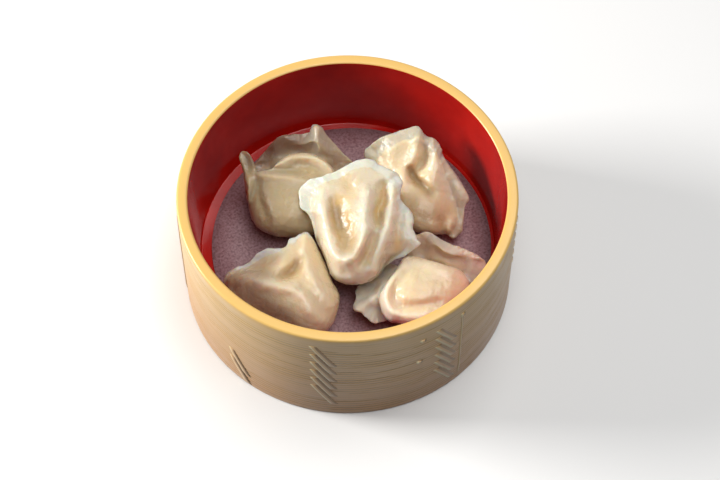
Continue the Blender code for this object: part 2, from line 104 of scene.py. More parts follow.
# Samples on each span of a pleat's path or of a painted shading stroke, and of a rim
PATH_SAMPLES = 8
RIM_SAMPLES = 12

# Dough without a flange swells at once; with a wide flange it swells late
ROUND_SWELL = 0.5
HOLLOW_SWELL = 0.6
WIDE_FLANGE = 0.25


class Face(Enum):
    """Material slots of the bowl's shell."""

    BAMBOO = 0
    LACQUER = 1


# Steps that several pieces share


def deselect_all() -> None:
    """Leave no object selected."""
    for obj in bpy.context.view_layer.objects:
        obj.select_set(False)


def make_active(obj: bpy.types.Object) -> None:
    """Select one object alone and make it active.

    Args:
        obj: The object to work on.
    """
    deselect_all()
    obj.select_set(True)
    bpy.context.view_layer.objects.active = obj


def apply_modifier(obj: bpy.types.Object, kind: str, **settings: object) -> None:
    """Add a modifier with settings and apply it.

    Args:
        obj: The object to modify.
        kind: The modifier's type.
        **settings: Values of the modifier's properties.
    """
    make_active(obj)
    modifier = obj.modifiers.new(kind.lower(), kind)
    for key, value in settings.items():
        setattr(modifier, key, value)
    bpy.ops.object.modifier_apply(modifier=modifier.name)


def object_from_arrays(name: str, places: np.ndarray, faces: list) -> bpy.types.Object:
    """Make an object from points and faces.

    Args:
        name: Name of the piece.
        places: Points in metres.
        faces: Corner numbers of each face.

    Returns:
        The new object at the origin.
    """
    mesh = bpy.data.meshes.new(name)
    mesh.from_pydata([tuple(map(float, place)) for place in places], [], faces)
    mesh.validate()
    obj = bpy.data.objects.new(name, mesh)
    bpy.context.scene.collection.objects.link(obj)
    return obj


def face_outwards(obj: bpy.types.Object) -> None:
    """Point an object's faces outwards.

    Args:
        obj: A closed object.
    """
    bm = bmesh.new()
    bm.from_mesh(obj.data)
    bmesh.ops.recalc_face_normals(bm, faces=bm.faces)
    bm.to_mesh(obj.data)
    bm.free()


def joined_objects(parts: list) -> bpy.types.Object:
    """Join objects into the first of them.

    Args:
        parts: The objects.

    Returns:
        The joined object.
    """
    make_active(parts[0])
    for part in parts:
        part.select_set(True)
    if len(parts) > 1:
        bpy.ops.object.join()
    return parts[0]


def point_values(obj: bpy.types.Object, name: str) -> np.ndarray:
    """Read the places or the normals of an object's points.

    Args:
        obj: The piece.
        name: "co" for places, or "normal".

    Returns:
        One row of three numbers for each point.
    """
    values = np.empty(len(obj.data.vertices) * 3)
    obj.data.vertices.foreach_get(name, values)
    return values.reshape(-1, 3)


def write_attribute(obj: bpy.types.Object, name: str, values: np.ndarray) -> None:
    """Store one number per point for the materials to read.

    Args:
        obj: The piece.
        name: The attribute's name.
        values: One number for each point.
    """
    attribute = obj.data.attributes.new(name, "FLOAT", "POINT")
    attribute.data.foreach_set("value", np.asarray(values, dtype=np.float32))


def finish_piece(obj: bpy.types.Object, slot: str, *nodes: str) -> None:
    """Hand a finished piece to the frame.

    Args:
        obj: The piece.
        slot: The record's material slot; not used.
        *nodes: The CAD nodes that it stands for.
    """
    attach(obj, ROOT_BODY)
    if nodes:
        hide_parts(*nodes)
    log.info("%s: %d faces", obj.name, len(obj.data.polygons))


# Shared shader effects


def new_group(name: str, inputs: tuple, outputs: tuple) -> bpy.types.NodeTree:
    """Start a shader node group with named sockets.

    Args:
        name: The group's name.
        inputs: (name, socket type, default) of each input.
        outputs: (name, socket type) of each output.

    Returns:
        The node group, with its input and output nodes in place.
    """
    group = bpy.data.node_groups.new(name, "ShaderNodeTree")
    for label, kind, default in inputs:
        socket = group.interface.new_socket(label, in_out="INPUT", socket_type=kind)
        socket.default_value = default
    for label, kind in outputs:
        group.interface.new_socket(label, in_out="OUTPUT", socket_type=kind)
    group.nodes.new("NodeGroupInput").name = "In"
    group.nodes.new("NodeGroupOutput").name = "Out"
    return group


def speckle_group() -> bpy.types.NodeTree:
    """Build the group that mottles a surface at a coarse and a fine scale.

    Returns:
        A group with the outputs Mottle (0 to 1) and Grain (a height).
    """
    group = new_group(
        "surface_speckle",
        (("Coarse Scale", "NodeSocketFloat", 120.0), ("Fine Scale", "NodeSocketFloat", 900.0)),
        (("Mottle", "NodeSocketFloat"), ("Grain", "NodeSocketFloat")),
    )
    nodes, links = group.nodes, group.links
    place = nodes.new("ShaderNodeTexCoord")
    outputs = {}
    for label, socket, detail in (("Mottle", "Coarse Scale", 3.0), ("Grain", "Fine Scale", 2.0)):
        noise = nodes.new("ShaderNodeTexNoise")
        noise.inputs["Detail"].default_value = detail
        noise.inputs["Roughness"].default_value = 0.55
        links.new(place.outputs["Object"], noise.inputs["Vector"])
        links.new(nodes["In"].outputs[socket], noise.inputs["Scale"])
        outputs[label] = noise.outputs["Fac"]
    spread = nodes.new("ShaderNodeMapRange")
    spread.inputs["From Min"].default_value = 0.3
    spread.inputs["From Max"].default_value = 0.7
    links.new(outputs["Mottle"], spread.inputs["Value"])
    links.new(spread.outputs["Result"], nodes["Out"].inputs["Mottle"])
    links.new(outputs["Grain"], nodes["Out"].inputs["Grain"])
    return group


class Finish:
    """Common steps of every finish.

    In the finishes, roughness is (least, most) and relief is (strength, height in metres).
    """

    speckle: bpy.types.NodeTree | None = None

    @classmethod
    def shared_speckle(cls) -> bpy.types.NodeTree:
        """Return the speckle group, built once.

        Returns:
            The group that every finish shares.
        """
        if Finish.speckle is None:
            Finish.speckle = speckle_group()
        return Finish.speckle

    @staticmethod
    def start(name: str) -> tuple:
        """Start a material.

        Args:
            name: The material's name.

        Returns:
            The material, its node tree and its Principled shader.
        """
        material = bpy.data.materials.new(name)
        material.use_nodes = True
        tree = material.node_tree
        return material, tree, tree.nodes["Principled BSDF"]

    @classmethod
    def add_speckle(cls, tree: bpy.types.NodeTree, coarse: float, fine: float) -> bpy.types.Node:
        """Place the speckle group in a material with its own scales.

        Args:
            tree: The material's node tree.
            coarse: Scale of the mottling.
            fine: Scale of the grain.

        Returns:
            The group's node.
        """
        node = tree.nodes.new("ShaderNodeGroup")
        node.node_tree = cls.shared_speckle()
        node.inputs["Coarse Scale"].default_value = coarse
        node.inputs["Fine Scale"].default_value = fine
        return node

    @staticmethod
    def mix(tree: bpy.types.NodeTree, factor: object, first: object, second: object) -> object:
        """Mix two colours.

        Args:
            tree: The node tree.
            factor: A socket, or a number.
            first: A socket, or a colour, shown at 0.
            second: A socket, or a colour, shown at 1.

        Returns:
            The mixed colour's socket.
        """
        node = tree.nodes.new("ShaderNodeMix")
        node.data_type = "RGBA"
        ends = (node.inputs["Factor"], node.inputs[6], node.inputs[7])
        for socket, value in zip(ends, (factor, first, second)):
            if isinstance(value, bpy.types.NodeSocket):
                tree.links.new(value, socket)
            elif isinstance(value, tuple):
                socket.default_value = (*value, 1.0)
            else:
                socket.default_value = value
        return node.outputs[2]

    @staticmethod
    def scaled(tree: bpy.types.NodeTree, value: object, low: float, high: float) -> object:
        """Map a 0 to 1 value to a new range.

        Args:
            tree: The node tree.
            value: The value's socket.
            low: What 0 becomes.
            high: What 1 becomes.

        Returns:
            The mapped value's socket.
        """
        node = tree.nodes.new("ShaderNodeMapRange")
        node.inputs["To Min"].default_value = low
        node.inputs["To Max"].default_value = high
        tree.links.new(value, node.inputs["Value"])
        return node.outputs["Result"]

    @staticmethod
    def attribute(tree: bpy.types.NodeTree, name: str) -> object:
        """Read a number stored on the piece.

        Args:
            tree: The node tree.
            name: The attribute's name.

        Returns:
            The number's socket.
        """
        node = tree.nodes.new("ShaderNodeAttribute")
        node.attribute_name = name
        return node.outputs["Fac"]

    @staticmethod
    def bump(tree: bpy.types.NodeTree, height: object, strength: float, distance: float) -> object:
        """Bump the surface by a height.

        Args:
            tree: The node tree.
            height: The height's socket.
            strength: How much of the bump shows.
            distance: Its greatest height, in metres.

        Returns:
            The normal's socket.
        """
        node = tree.nodes.new("ShaderNodeBump")
        node.inputs["Strength"].default_value = strength
        node.inputs["Distance"].default_value = distance
        tree.links.new(height, node.inputs["Height"])
        return node.outputs["Normal"]


@dataclass(frozen=True)
class BambooPlastic(Finish):
    """Satin moulded plastic that imitates split bamboo."""

    light: tuple = (0.80, 0.52, 0.22)
    # Painted shade in the grooves and along one long edge of each bar
    dark: tuple = (0.26, 0.14, 0.055)
    streak: tuple = (0.86, 0.60, 0.28)
    # Painted highlight along one long edge of each bar
    edge_highlight: tuple = (0.95, 0.80, 0.48)
    # Painted shade: the wall's colour towards its bottom, browner and darker
    low: tuple = (0.66, 0.37, 0.18)
    rim: tuple = (0.82, 0.52, 0.16)
    roughness: tuple = (0.28, 0.42)
    coat: float = 0.15
    coat_roughness: float = 0.2
    streak_scale: tuple = (30.0, 30.0, 900.0)
    streak_tint: tuple = (-0.2, 0.6)
    mottle_scale: float = 60.0
    grain_scale: float = 1500.0
    lower_shade_top: float = 0.85
    rim_span: tuple = (0.004, 0.001)
    groove_tint: float = 0.85
    relief: tuple = (0.25, 0.0003)

    def build(self) -> bpy.types.Material:
        """Build the material: long streaks around the wall, painted shade in the grooves, on one
        long edge of each bar and towards the bottom, and a painted highlight on each bar's other
        edge.

        Returns:
            The material.
        """
        material, tree, shader = self.start("bamboo_plastic")
        place = tree.nodes.new("ShaderNodeTexCoord")
        stretch = tree.nodes.new("ShaderNodeMapping")
        stretch.inputs["Scale"].default_value = self.streak_scale
        tree.links.new(place.outputs["Object"], stretch.inputs["Vector"])
        streaks = tree.nodes.new("ShaderNodeTexNoise")
        streaks.inputs["Scale"].default_value = 1.0
        streaks.inputs["Detail"].default_value = 3.0
        tree.links.new(stretch.outputs["Vector"], streaks.inputs["Vector"])
        speckle = self.add_speckle(tree, self.mottle_scale, self.grain_scale)
        height = tree.nodes.new("ShaderNodeSeparateXYZ")
        tree.links.new(place.outputs["Object"], height.inputs["Vector"])
        # Painted shade: the low colour takes over towards the bottom of the wall
        lower_shade = tree.nodes.new("ShaderNodeMapRange")
        lower_shade.inputs["From Min"].default_value = BOWL_HEIGHT * self.lower_shade_top
        lower_shade.inputs["From Max"].default_value = 0.0
        tree.links.new(height.outputs["Z"], lower_shade.inputs["Value"])
        rim = tree.nodes.new("ShaderNodeMapRange")
        rim.inputs["From Min"].default_value = BOWL_HEIGHT - self.rim_span[0]
        rim.inputs["From Max"].default_value = BOWL_HEIGHT - self.rim_span[1]
        tree.links.new(height.outputs["Z"], rim.inputs["Value"])
        streak = self.scaled(tree, streaks.outputs["Fac"], *self.streak_tint)
        color = self.mix(tree, streak, self.light, self.streak)
        color = self.mix(tree, lower_shade.outputs["Result"], color, self.low)
        color = self.mix(tree, rim.outputs["Result"], color, self.rim)
        # Painted shade: darker where the groove attribute is high, in the wall's grooves and on one
        # bar edge
        groove = self.scaled(tree, self.attribute(tree, "groove"), 0.0, self.groove_tint)
        color = self.mix(tree, groove, color, self.dark)
        # Painted highlight along one long edge of each bar
        color = self.mix(tree, self.attribute(tree, "edge_highlight"), color, self.edge_highlight)
        tree.links.new(color, shader.inputs["Base Color"])
        tree.links.new(self.scaled(tree, speckle.outputs["Mottle"], *self.roughness),
                       shader.inputs["Roughness"])
        tree.links.new(self.bump(tree, streaks.outputs["Fac"], *self.relief),
                       shader.inputs["Normal"])
        shader.inputs["Coat Weight"].default_value = self.coat
        shader.inputs["Coat Roughness"].default_value = self.coat_roughness
        return material


@dataclass(frozen=True)
class RedLacquer(Finish):
    """Glossy red lacquer of the bowl's inside."""

    red: tuple = (0.52, 0.010, 0.005)
    deep: tuple = (0.36, 0.005, 0.003)
    mottle_scale: float = 40.0
    grain_scale: float = 500.0
    roughness: tuple = (0.10, 0.17)
    relief: tuple = (0.10, 0.0006)

    def build(self) -> bpy.types.Material:
        """Build the material: faintly uneven glossy red.

        Returns:
            The material.
        """
        material, tree, shader = self.start("red_lacquer")
        speckle = self.add_speckle(tree, self.mottle_scale, self.grain_scale)
        tree.links.new(self.mix(tree, speckle.outputs["Mottle"], self.red, self.deep),
                       shader.inputs["Base Color"])
        tree.links.new(self.scaled(tree, speckle.outputs["Mottle"], *self.roughness),
                       shader.inputs["Roughness"])
        tree.links.new(self.bump(tree, speckle.outputs["Mottle"], *self.relief),
                       shader.inputs["Normal"])
        return material


@dataclass(frozen=True)
class SteamingPaper(Finish):
    """Thin damp paper with fibres, tinted by the red below it."""

    pale: tuple = (0.46, 0.30, 0.32)
    deep: tuple = (0.16, 0.08, 0.09)
    damp: tuple = (0.17, 0.055, 0.06)
    mottle_scale: float = 800.0
    grain_scale: float = 1800.0
    web_scale: float = 420.0
    web_strength: float = 1.6
    damp_scale: float = 55.0
    damp_strength: float = 0.4
    roughness: tuple = (0.30, 0.5)
    relief: tuple = (0.5, 0.0003)

    def build(self) -> bpy.types.Material:
        """Build the material: mottled fibres with damp patches and a soft sheen.

        Returns:
            The material.
        """
        material, tree, shader = self.start("steaming_paper")
        speckle = self.add_speckle(tree, self.mottle_scale, self.grain_scale)
        fibres = tree.nodes.new("ShaderNodeTexVoronoi")
        fibres.feature = "DISTANCE_TO_EDGE"
        fibres.inputs["Scale"].default_value = self.web_scale
        place = tree.nodes.new("ShaderNodeTexCoord")
        tree.links.new(place.outputs["Object"], fibres.inputs["Vector"])
        web = self.scaled(tree, fibres.outputs["Distance"], 0.0, self.web_strength)
        color = self.mix(tree, speckle.outputs["Mottle"], self.pale, self.deep)
        color = self.mix(tree, web, color, self.pale)
        patches = self.add_speckle(tree, self.damp_scale, self.grain_scale)
        damp = self.scaled(tree, patches.outputs["Mottle"], 0.0, self.damp_strength)
        color = self.mix(tree, damp, color, self.damp)
        tree.links.new(color, shader.inputs["Base Color"])
        tree.links.new(self.scaled(tree, speckle.outputs["Mottle"], *self.roughness),
                       shader.inputs["Roughness"])
        tree.links.new(self.bump(tree, speckle.outputs["Grain"], *self.relief),
                       shader.inputs["Normal"])
        return material


@dataclass(frozen=True)
class SteamedDough(Finish):
    """Moist steamed dough: painted highlight on its ridges, painted warm shade in its folds,
    clearer where thin.
    """

    name: str
    body: tuple
    # Painted shade: the warm, darker colour of the folds
    fold: tuple
    # Painted highlight: the paler colour of the ridges
    ridge: tuple
    thin: tuple
    # Painted shade: the colour laid along the positive shading strokes
    painted_shade: tuple
    mottle_scale: float = 70.0
    grain_scale: float = 650.0
    mottle_tint: float = 0.86
    mottle_strength: float = 0.28
    roughness: tuple = (0.20, 0.40)
    relief: tuple = (0.45, 0.0005)
    glow: float = 0.75
    glow_reach: float = 0.008
    glow_color: tuple = (1.0, 0.55, 0.28)
    gloss: float = 0.45

    def build(self) -> bpy.types.Material:
        """Build the material from what the dumpling stores on its points.

        Returns:
            The material.
        """
        material, tree, shader = self.start(self.name)
        speckle = self.add_speckle(tree, self.mottle_scale, self.grain_scale)
        # Painted shade in the folds, on faces that look up
        color = self.mix(tree, self.attribute(tree, "fold"), self.body, self.fold)
        # Painted highlight on the ridges and where the painted light strokes lie
        color = self.mix(tree, self.attribute(tree, "ridge"), color, self.ridge)
        color = self.mix(tree, self.attribute(tree, "thin"), color, self.thin)
        # Painted shade along the positive shading strokes
        color = self.mix(tree, self.attribute(tree, "painted_shade"), color, self.painted_shade)
        tint = tuple(self.mottle_tint * channel for channel in self.body)
        mottle = self.scaled(tree, speckle.outputs["Mottle"], 0.0, self.mottle_strength)
        color = self.mix(tree, mottle, color, tint)
        tree.links.new(color, shader.inputs["Base Color"])
        tree.links.new(self.scaled(tree, speckle.outputs["Mottle"], *self.roughness),
                       shader.inputs["Roughness"])
        tree.links.new(self.bump(tree, speckle.outputs["Grain"], *self.relief),
                       shader.inputs["Normal"])
        shader.inputs["Subsurface Weight"].default_value = self.glow
        shader.inputs["Subsurface Radius"].default_value = self.glow_color
        shader.inputs["Subsurface Scale"].default_value = self.glow_reach
        shader.inputs["Specular IOR Level"].default_value = self.gloss
        return material


# Dough


@dataclass(frozen=True)
class Pleat:
    """A ridge (positive height) or valley (negative height) along a curve, in millimetres."""

    path: tuple
    height: float
    width: float


@dataclass(frozen=True)
class PaintedShading:
    """A stretch of painted shade (positive) or painted light (negative strength) on the dough along
    a curve.
    """

    path: tuple
    strength: float
    width: float


@dataclass(frozen=True)
class Lobe:
    """One fold of dough; rim holds (x, y, height, flange width) around its outline."""

    rim: tuple
    center: tuple
    crown: float
    under: float
    edge: float = 0.8
    pleats: tuple = ()


def smooth_curve(points: tuple, samples: int, closed: bool) -> np.ndarray:
    """Sample a Catmull-Rom curve.

    Args:
        points: Points of any dimension.
        samples: Samples on each span.
        closed: Whether the curve closes on itself.

    Returns:
        The sampled points.
    """
    knots = np.array(points, dtype=float)
    if closed:
        knots = np.vstack((knots[-1:], knots, knots[:2]))
    else:
        knots = np.vstack((2 * knots[0] - knots[1], knots, 2 * knots[-1] - knots[-2]))
    fine = []
    for span in range(len(knots) - 3):
        before, start, end, after = knots[span:span + 4]
        for step in range(samples):
            t = step / samples
            fine.append(0.5 * (2 * start + (end - before) * t
                               + (2 * before - 5 * start + 4 * end - after) * t ** 2
                               + (3 * start - before - 3 * end + after) * t ** 3))
    if not closed:
        fine.append(knots[-2])
    return np.array(fine)


def evenly_spaced(curve: np.ndarray, count: int) -> np.ndarray:
    """Resample a closed curve to points that lie evenly along it.

    Args:
        curve: The curve's points.
        count: How many points to return.

    Returns:
        The resampled points.
    """
    loop = np.vstack((curve, curve[:1]))
    steps = np.linalg.norm(np.diff(loop[:, :2], axis=0), axis=1)
    lengths = np.concatenate(([0.0], np.cumsum(steps)))
    targets = np.linspace(0.0, lengths[-1], count, endpoint=False)
    return np.stack([np.interp(targets, lengths, loop[:, axis])
                     for axis in range(loop.shape[1])], axis=1)


def distance_to_path(plan: np.ndarray, path: tuple) -> tuple:
    """Measure how far plan points lie from a curve.

    Args:
        plan: Plan points.
        path: The curve's own points.

    Returns:
        Each point's distance, and its place along the curve from 0 to 1.
    """
    curve = smooth_curve(path, PATH_SAMPLES, closed=False)
    best = np.full(len(plan), np.inf)
    place = np.zeros(len(plan))
    for index, (start, end) in enumerate(zip(curve, curve[1:])):
        step = end - start
        t = np.clip(((plan - start) @ step) / max(step @ step, TINY), 0.0, 1.0)
        distance = np.linalg.norm(plan - start - t[:, None] * step, axis=1)
        nearer = distance < best
        best = np.where(nearer, distance, best)
        place = np.where(nearer, (index + t) / (len(curve) - 1), place)
    return best, place


def pleat_relief(plan: np.ndarray, pleats: tuple) -> np.ndarray:
    """Work out the height that the pleats add.

    Args:
        plan: Plan points.
        pleats: The ridges and valleys.

    Returns:
        The added height at each plan point, in millimetres.
    """
    relief = np.zeros(len(plan))
    for pleat in pleats:
        distance, place = distance_to_path(plan, pleat.path)
        half_wave = np.sin(np.pi * (PLEAT_START + PLEAT_SPAN * place))
        taper = np.sqrt(np.clip(half_wave, 0.0, 1.0))
        relief += pleat.height * taper * np.exp(-(distance / pleat.width) ** 2)
    return relief


def swell(share: float, flange_share: np.ndarray) -> tuple:
    """Work out how far the dough has swollen from its rim (0) to its crown (1).

    Args:
        share: How far in from the rim, from 0 to 1.
        flange_share: The share of the way in that the flat flange takes, for each rim point.

    Returns:
        The swelling, and how far past the flange each point lies, both from 0 to 1.
    """
    inner = np.clip((share - flange_share) / (1.0 - flange_share), 0.0, 1.0)
    power = ROUND_SWELL + np.clip(flange_share / WIDE_FLANGE, 0.0, 1.0) * HOLLOW_SWELL
    return np.power(1.0 - (1.0 - inner) ** 2, power), inner


def to_world(plan: np.ndarray, height: np.ndarray) -> np.ndarray:
    """Place plan points at a height along their lines to the sight apex.

    Args:
        plan: Plan points, in millimetres.
        height: Their heights above the paper, in millimetres.

    Returns:
        The points in the world, in metres.
    """
    share = (np.asarray(height) / APEX_RISE)[:, None]
    foot = np.column_stack((plan * MM, np.full(len(plan), REST_Z)))
    return foot + (np.array(SIGHT_APEX) - foot) * share


def to_plan(places: np.ndarray) -> np.ndarray:
    """Find the plan points of points in the world.

    Args:
        places: Points in metres.

    Returns:
        Their plan points, in millimetres.
    """
    share = ((places[:, 2] - REST_Z) / (SIGHT_APEX.z - REST_Z))[:, None]
    apex = np.array(SIGHT_APEX)[:2]
    return ((places[:, :2] - apex * share) / (1.0 - share)) / MM


@dataclass
class Dumpling:
    """One gyoza: its lobes, their finish and how finely they are made.

    Lengths of the dough are in millimetres; voxel, thin_reach and skin are in metres. A frill
    wave is (waves round the rim, phase, share), and a dent is (spacing, depth).
    """

    node: str
    lobes: tuple
    finish: SteamedDough
    painted_shading: tuple = ()
    steps: int = 220
    rings: tuple = (46, 22)
    stack_gap: float = 0.35
    stack_reach: float = 0.8
    softening_span: float = 0.07
    softening_depth: float = 0.35
    min_dough: float = 1.2
    voxel: float = 0.00042
    smooth_rounds: int = 9
    thin_reach: float = 0.006
    thin_most: float = 1.25
    thin_slope: float = 1.6
    skin: float = 0.0002
    ring_crowding: float = 1.5
    widest_flange: float = 0.6
    frill: float = 0.16
    frill_lift: float = 2.0
    frill_lag: int = 3
    frill_unevenness: float = 0.35
    frill_waves: tuple = ((13, 0.4, 1.0), (22, 1.9, 0.7), (41, 0.0, 0.35))
    full_flange: float = 4.0
    fold_depth: float = 3.2
    fold_limit: float = 0.9
    ridge_height: float = 3.5
    facing_low: float = 0.1
    facing_span: float = 0.3
    dents: tuple = ((15.0, 0.30), (7.0, 0.14), (3.1, 0.045))
    dent_sway: float = 0.9
    dent_sway_rate: float = 0.63
    dent_sway_phase: float = 1.1

    @property
    def piece_name(self) -> str:
        """Return the name of the finished piece."""
        return self.node + "_dough"

    def frilled(self, rim: np.ndarray) -> np.ndarray:
        """Return a rim with small waves where it has a flange.

        Args:
            rim: Rows of (x, y, height, flange width).

        Returns:
            The waved rim.
        """
        along = np.roll(rim[:, :2], -2, axis=0) - np.roll(rim[:, :2], 2, axis=0)
        along /= np.maximum(np.linalg.norm(along, axis=1), TINY)[:, None]
        turn = np.arange(len(rim)) / len(rim) * FULL_TURN
        uneven = turn + self.frill_unevenness * np.sin(3 * turn + 1.0)
        waves = sum(share * np.sin(count * uneven + phase)
                    for count, phase, share in self.frill_waves)
        size = self.frill * np.clip(rim[:, 3] / self.full_flange, 0.0, 1.0)
        waved = rim.copy()
        waved[:, 0] += along[:, 1] * waves * size
        waved[:, 1] -= along[:, 0] * waves * size
        waved[:, 2] += self.frill_lift * np.roll(waves, self.frill_lag) * size
        return waved

    def sheets(self, lobe: Lobe) -> list:
        """Work out a lobe's upper and lower sheets.

        Args:
            lobe: The lobe.

        Returns:
            For each sheet, a list of (plan points, heights), from the rim to the centre.
        """
        curve = smooth_curve(lobe.rim, RIM_SAMPLES, closed=True)
        sharp = self.frilled(evenly_spaced(curve, self.steps))
        span = max(1, round(len(sharp) * self.softening_span))
        soft = np.mean([np.roll(sharp, shift, axis=0) for shift in range(-span, span + 1)], axis=0)
        center = np.array(lobe.center, dtype=float)
        sheets = []
        for rings, target, side in zip(self.rings, (lobe.crown, lobe.under), (1.0, -1.0)):
            layer = []
            for ring in range(rings + 1):
                share = (ring / rings) ** self.ring_crowding
                rim = sharp + (soft - sharp) * min(1.0, share / self.softening_depth)
                reach = np.linalg.norm(rim[:, :2] - center, axis=1)
                flange_share = np.clip(rim[:, 3] / reach, 0.0, self.widest_flange)
                plan = rim[:, :2] + (center - rim[:, :2]) * share
                rise, inner = swell(share, flange_share)
                inset = np.clip(share * reach / lobe.edge, 0.0, 1.0)
                roundness = lobe.edge * np.sqrt(1.0 - (1.0 - inset) ** 2)
                height = rim[:, 2] + (target - rim[:, 2]) * rise + side * roundness
                relief = pleat_relief(plan, lobe.pleats) * inset
                if side < 0:
                    relief = relief * (1.0 - inner) ** 3
                layer.append((plan, height + relief))
            sheets.append(layer)
        return sheets

    def clear_heights(self, plan: np.ndarray, trees: list) -> np.ndarray:
        """Find the lowest height at which each plan point clears the dough below it.

        Args:
            plan: Plan points, in millimetres.
            trees: Search trees of the dumplings below.

        Returns:
            Each point's least height, in millimetres, or 0 where nothing lies below.
        """
        shifts = [(0.0, 0.0)]
        for step in range(4):
            angle = math.pi * step / 2
            shifts.append((self.stack_reach * math.cos(angle), self.stack_reach * math.sin(angle)))
        clear = np.zeros(len(plan))
        for shift in shifts if trees else ():
            feet = to_world(plan + np.array(shift), np.zeros(len(plan)))
            for index, foot in enumerate(feet):
                way = (Vector(foot) - SIGHT_APEX).normalized()
                for tree in trees:
                    hit = tree.ray_cast(SIGHT_APEX, way)[0]
                    if hit is not None:
                        found = (hit.z - REST_Z) / MM + self.stack_gap
                        clear[index] = max(clear[index], found)
        return clear

    def lobe_object(self, lobe: Lobe, trees: list) -> bpy.types.Object:
        """Build one closed lobe above the dough already there.

        Args:
            lobe: The lobe.
            trees: Search trees of the dumplings already built.

        Returns:
            The lobe as an object.
        """
        upper, under = self.sheets(lobe)
        plans, heights = [upper[0][0]], [np.array(upper[0][1])]
        lifts = [np.full(self.steps, self.min_dough / 2)]
        for layer, lift in ((upper, self.min_dough), (under, 0.0)):
            for plan, height in layer[1:-1]:
                plans.append(plan)
                heights.append(height)
                lifts.append(np.full(self.steps, lift))
            plans.append(layer[-1][0][:1])
            heights.append(np.array([np.mean(layer[-1][1])]))
            lifts.append(np.array([lift]))
        plan = np.concatenate(plans)
        height = np.concatenate(heights)
        clear = self.clear_heights(plan, trees)
        height = np.maximum(height, np.where(clear > 0.0, clear + np.concatenate(lifts), 0.0))
        faces = []
        base = self.steps
        for rings in self.rings:
            rows = [0] + [base + self.steps * ring for ring in range(rings - 1)]
            tip = base + self.steps * (rings - 1)
            for outer, inner in zip(rows, rows[1:]):
                for step in range(self.steps):
                    after = (step + 1) % self.steps
                    faces.append((outer + step, outer + after, inner + after, inner + step))
            for step in range(self.steps):
                faces.append((rows[-1] + step, rows[-1] + (step + 1) % self.steps, tip))
            base = tip + 1
        obj = object_from_arrays("lobe", to_world(plan, height), faces)
        face_outwards(obj)
        return obj

    def dent(self, obj: bpy.types.Object) -> None:
        """Press shallow, uneven dents into the dough.

        Args:
            obj: The dumpling.
        """
        count = len(obj.data.vertices)
        places, normals = point_values(obj, "co"), point_values(obj, "normal")
        depth = np.zeros(count)
        for wave, share in self.dents:
            turned = places @ DENT_TURN / (wave * MM) * FULL_TURN
            sway = np.sin(turned[:, [1, 2, 0]] * self.dent_sway_rate + self.dent_sway_phase)
            bent = turned + self.dent_sway * sway
            depth += share * MM * (0.5 + np.prod(np.sin(bent), axis=1))
        places -= normals * depth[:, None]
        obj.data.vertices.foreach_set("co", places.ravel())
        obj.data.update()

    def store_look(self, obj: bpy.types.Object, tree: BVHTree) -> None:
        """Store where the dough is folded, ridged and thin.

        Args:
            obj: The finished dumpling.
            tree: Its own search tree.
        """
        count = len(obj.data.vertices)
        places, normals = point_values(obj, "co"), point_values(obj, "normal")
        pleats = tuple(pleat for lobe in self.lobes for pleat in lobe.pleats)
        plan = to_plan(places)
        relief = pleat_relief(plan, pleats)
        # Painted shade from the positive strokes and painted light from the negative strokes, which
        # joins the ridge colour
        painted_shade, pale = np.zeros(count), np.zeros(count)
        for shading_stroke in self.painted_shading:
            distance = distance_to_path(plan, shading_stroke.path)[0]
            share = shading_stroke.strength * np.exp(-(distance / shading_stroke.width) ** 2)
            painted_shade, pale = np.maximum(painted_shade, share), np.maximum(pale, -share)
        # How much each point faces up; the painted shade in the folds and the painted highlight on
        # the ridges follow it
        facing = np.clip((normals[:, 2] - self.facing_low) / self.facing_span, 0.0, 1.0)
        thickness = np.full(count, self.thin_reach)
        for index, (place, normal) in enumerate(zip(places, normals)):
            inward = -Vector(normal)
            hit = tree.ray_cast(Vector(place) + inward * self.skin, inward, self.thin_reach)
            if hit[0] is not None:
                thickness[index] = hit[3]
        # Painted shade: deeper folds take more of the fold colour
        fold = np.clip(-relief / self.fold_depth, 0.0, self.fold_limit) * facing
        # Painted highlight: higher ridges that face up take more of the ridge colour
        ridge = np.clip(relief / self.ridge_height, 0.0, 1.0) * facing
        thin = self.thin_most - thickness / self.thin_reach * self.thin_slope
        write_attribute(obj, "painted_shade", painted_shade)
        write_attribute(obj, "fold", fold)
        write_attribute(obj, "ridge", np.maximum(ridge, pale))
        write_attribute(obj, "thin", np.clip(thin, 0.0, 1.0))

    def build(self, trees: list) -> BVHTree:
        """Build, fuse, smooth and dress the dumpling.

        Args:
            trees: Search trees of the dumplings already built.

        Returns:
            This dumpling's search tree.
        """
        body = joined_objects([self.lobe_object(lobe, trees) for lobe in self.lobes])
        body.name = self.piece_name
        body.data.name = self.piece_name
        apply_modifier(body, "REMESH", mode="VOXEL", voxel_size=self.voxel)
        apply_modifier(body, "SMOOTH", factor=0.5, iterations=self.smooth_rounds)
        self.dent(body)
        body.data.shade_smooth()
        bm = bmesh.new()
        bm.from_mesh(body.data)
        tree = BVHTree.FromBMesh(bm)
        bm.free()
        self.store_look(body, tree)
        body.data.materials.clear()
        body.data.materials.append(self.finish.build())
        finish_piece(body, self.node.replace("gyoza", "dough"), self.node)
        return tree


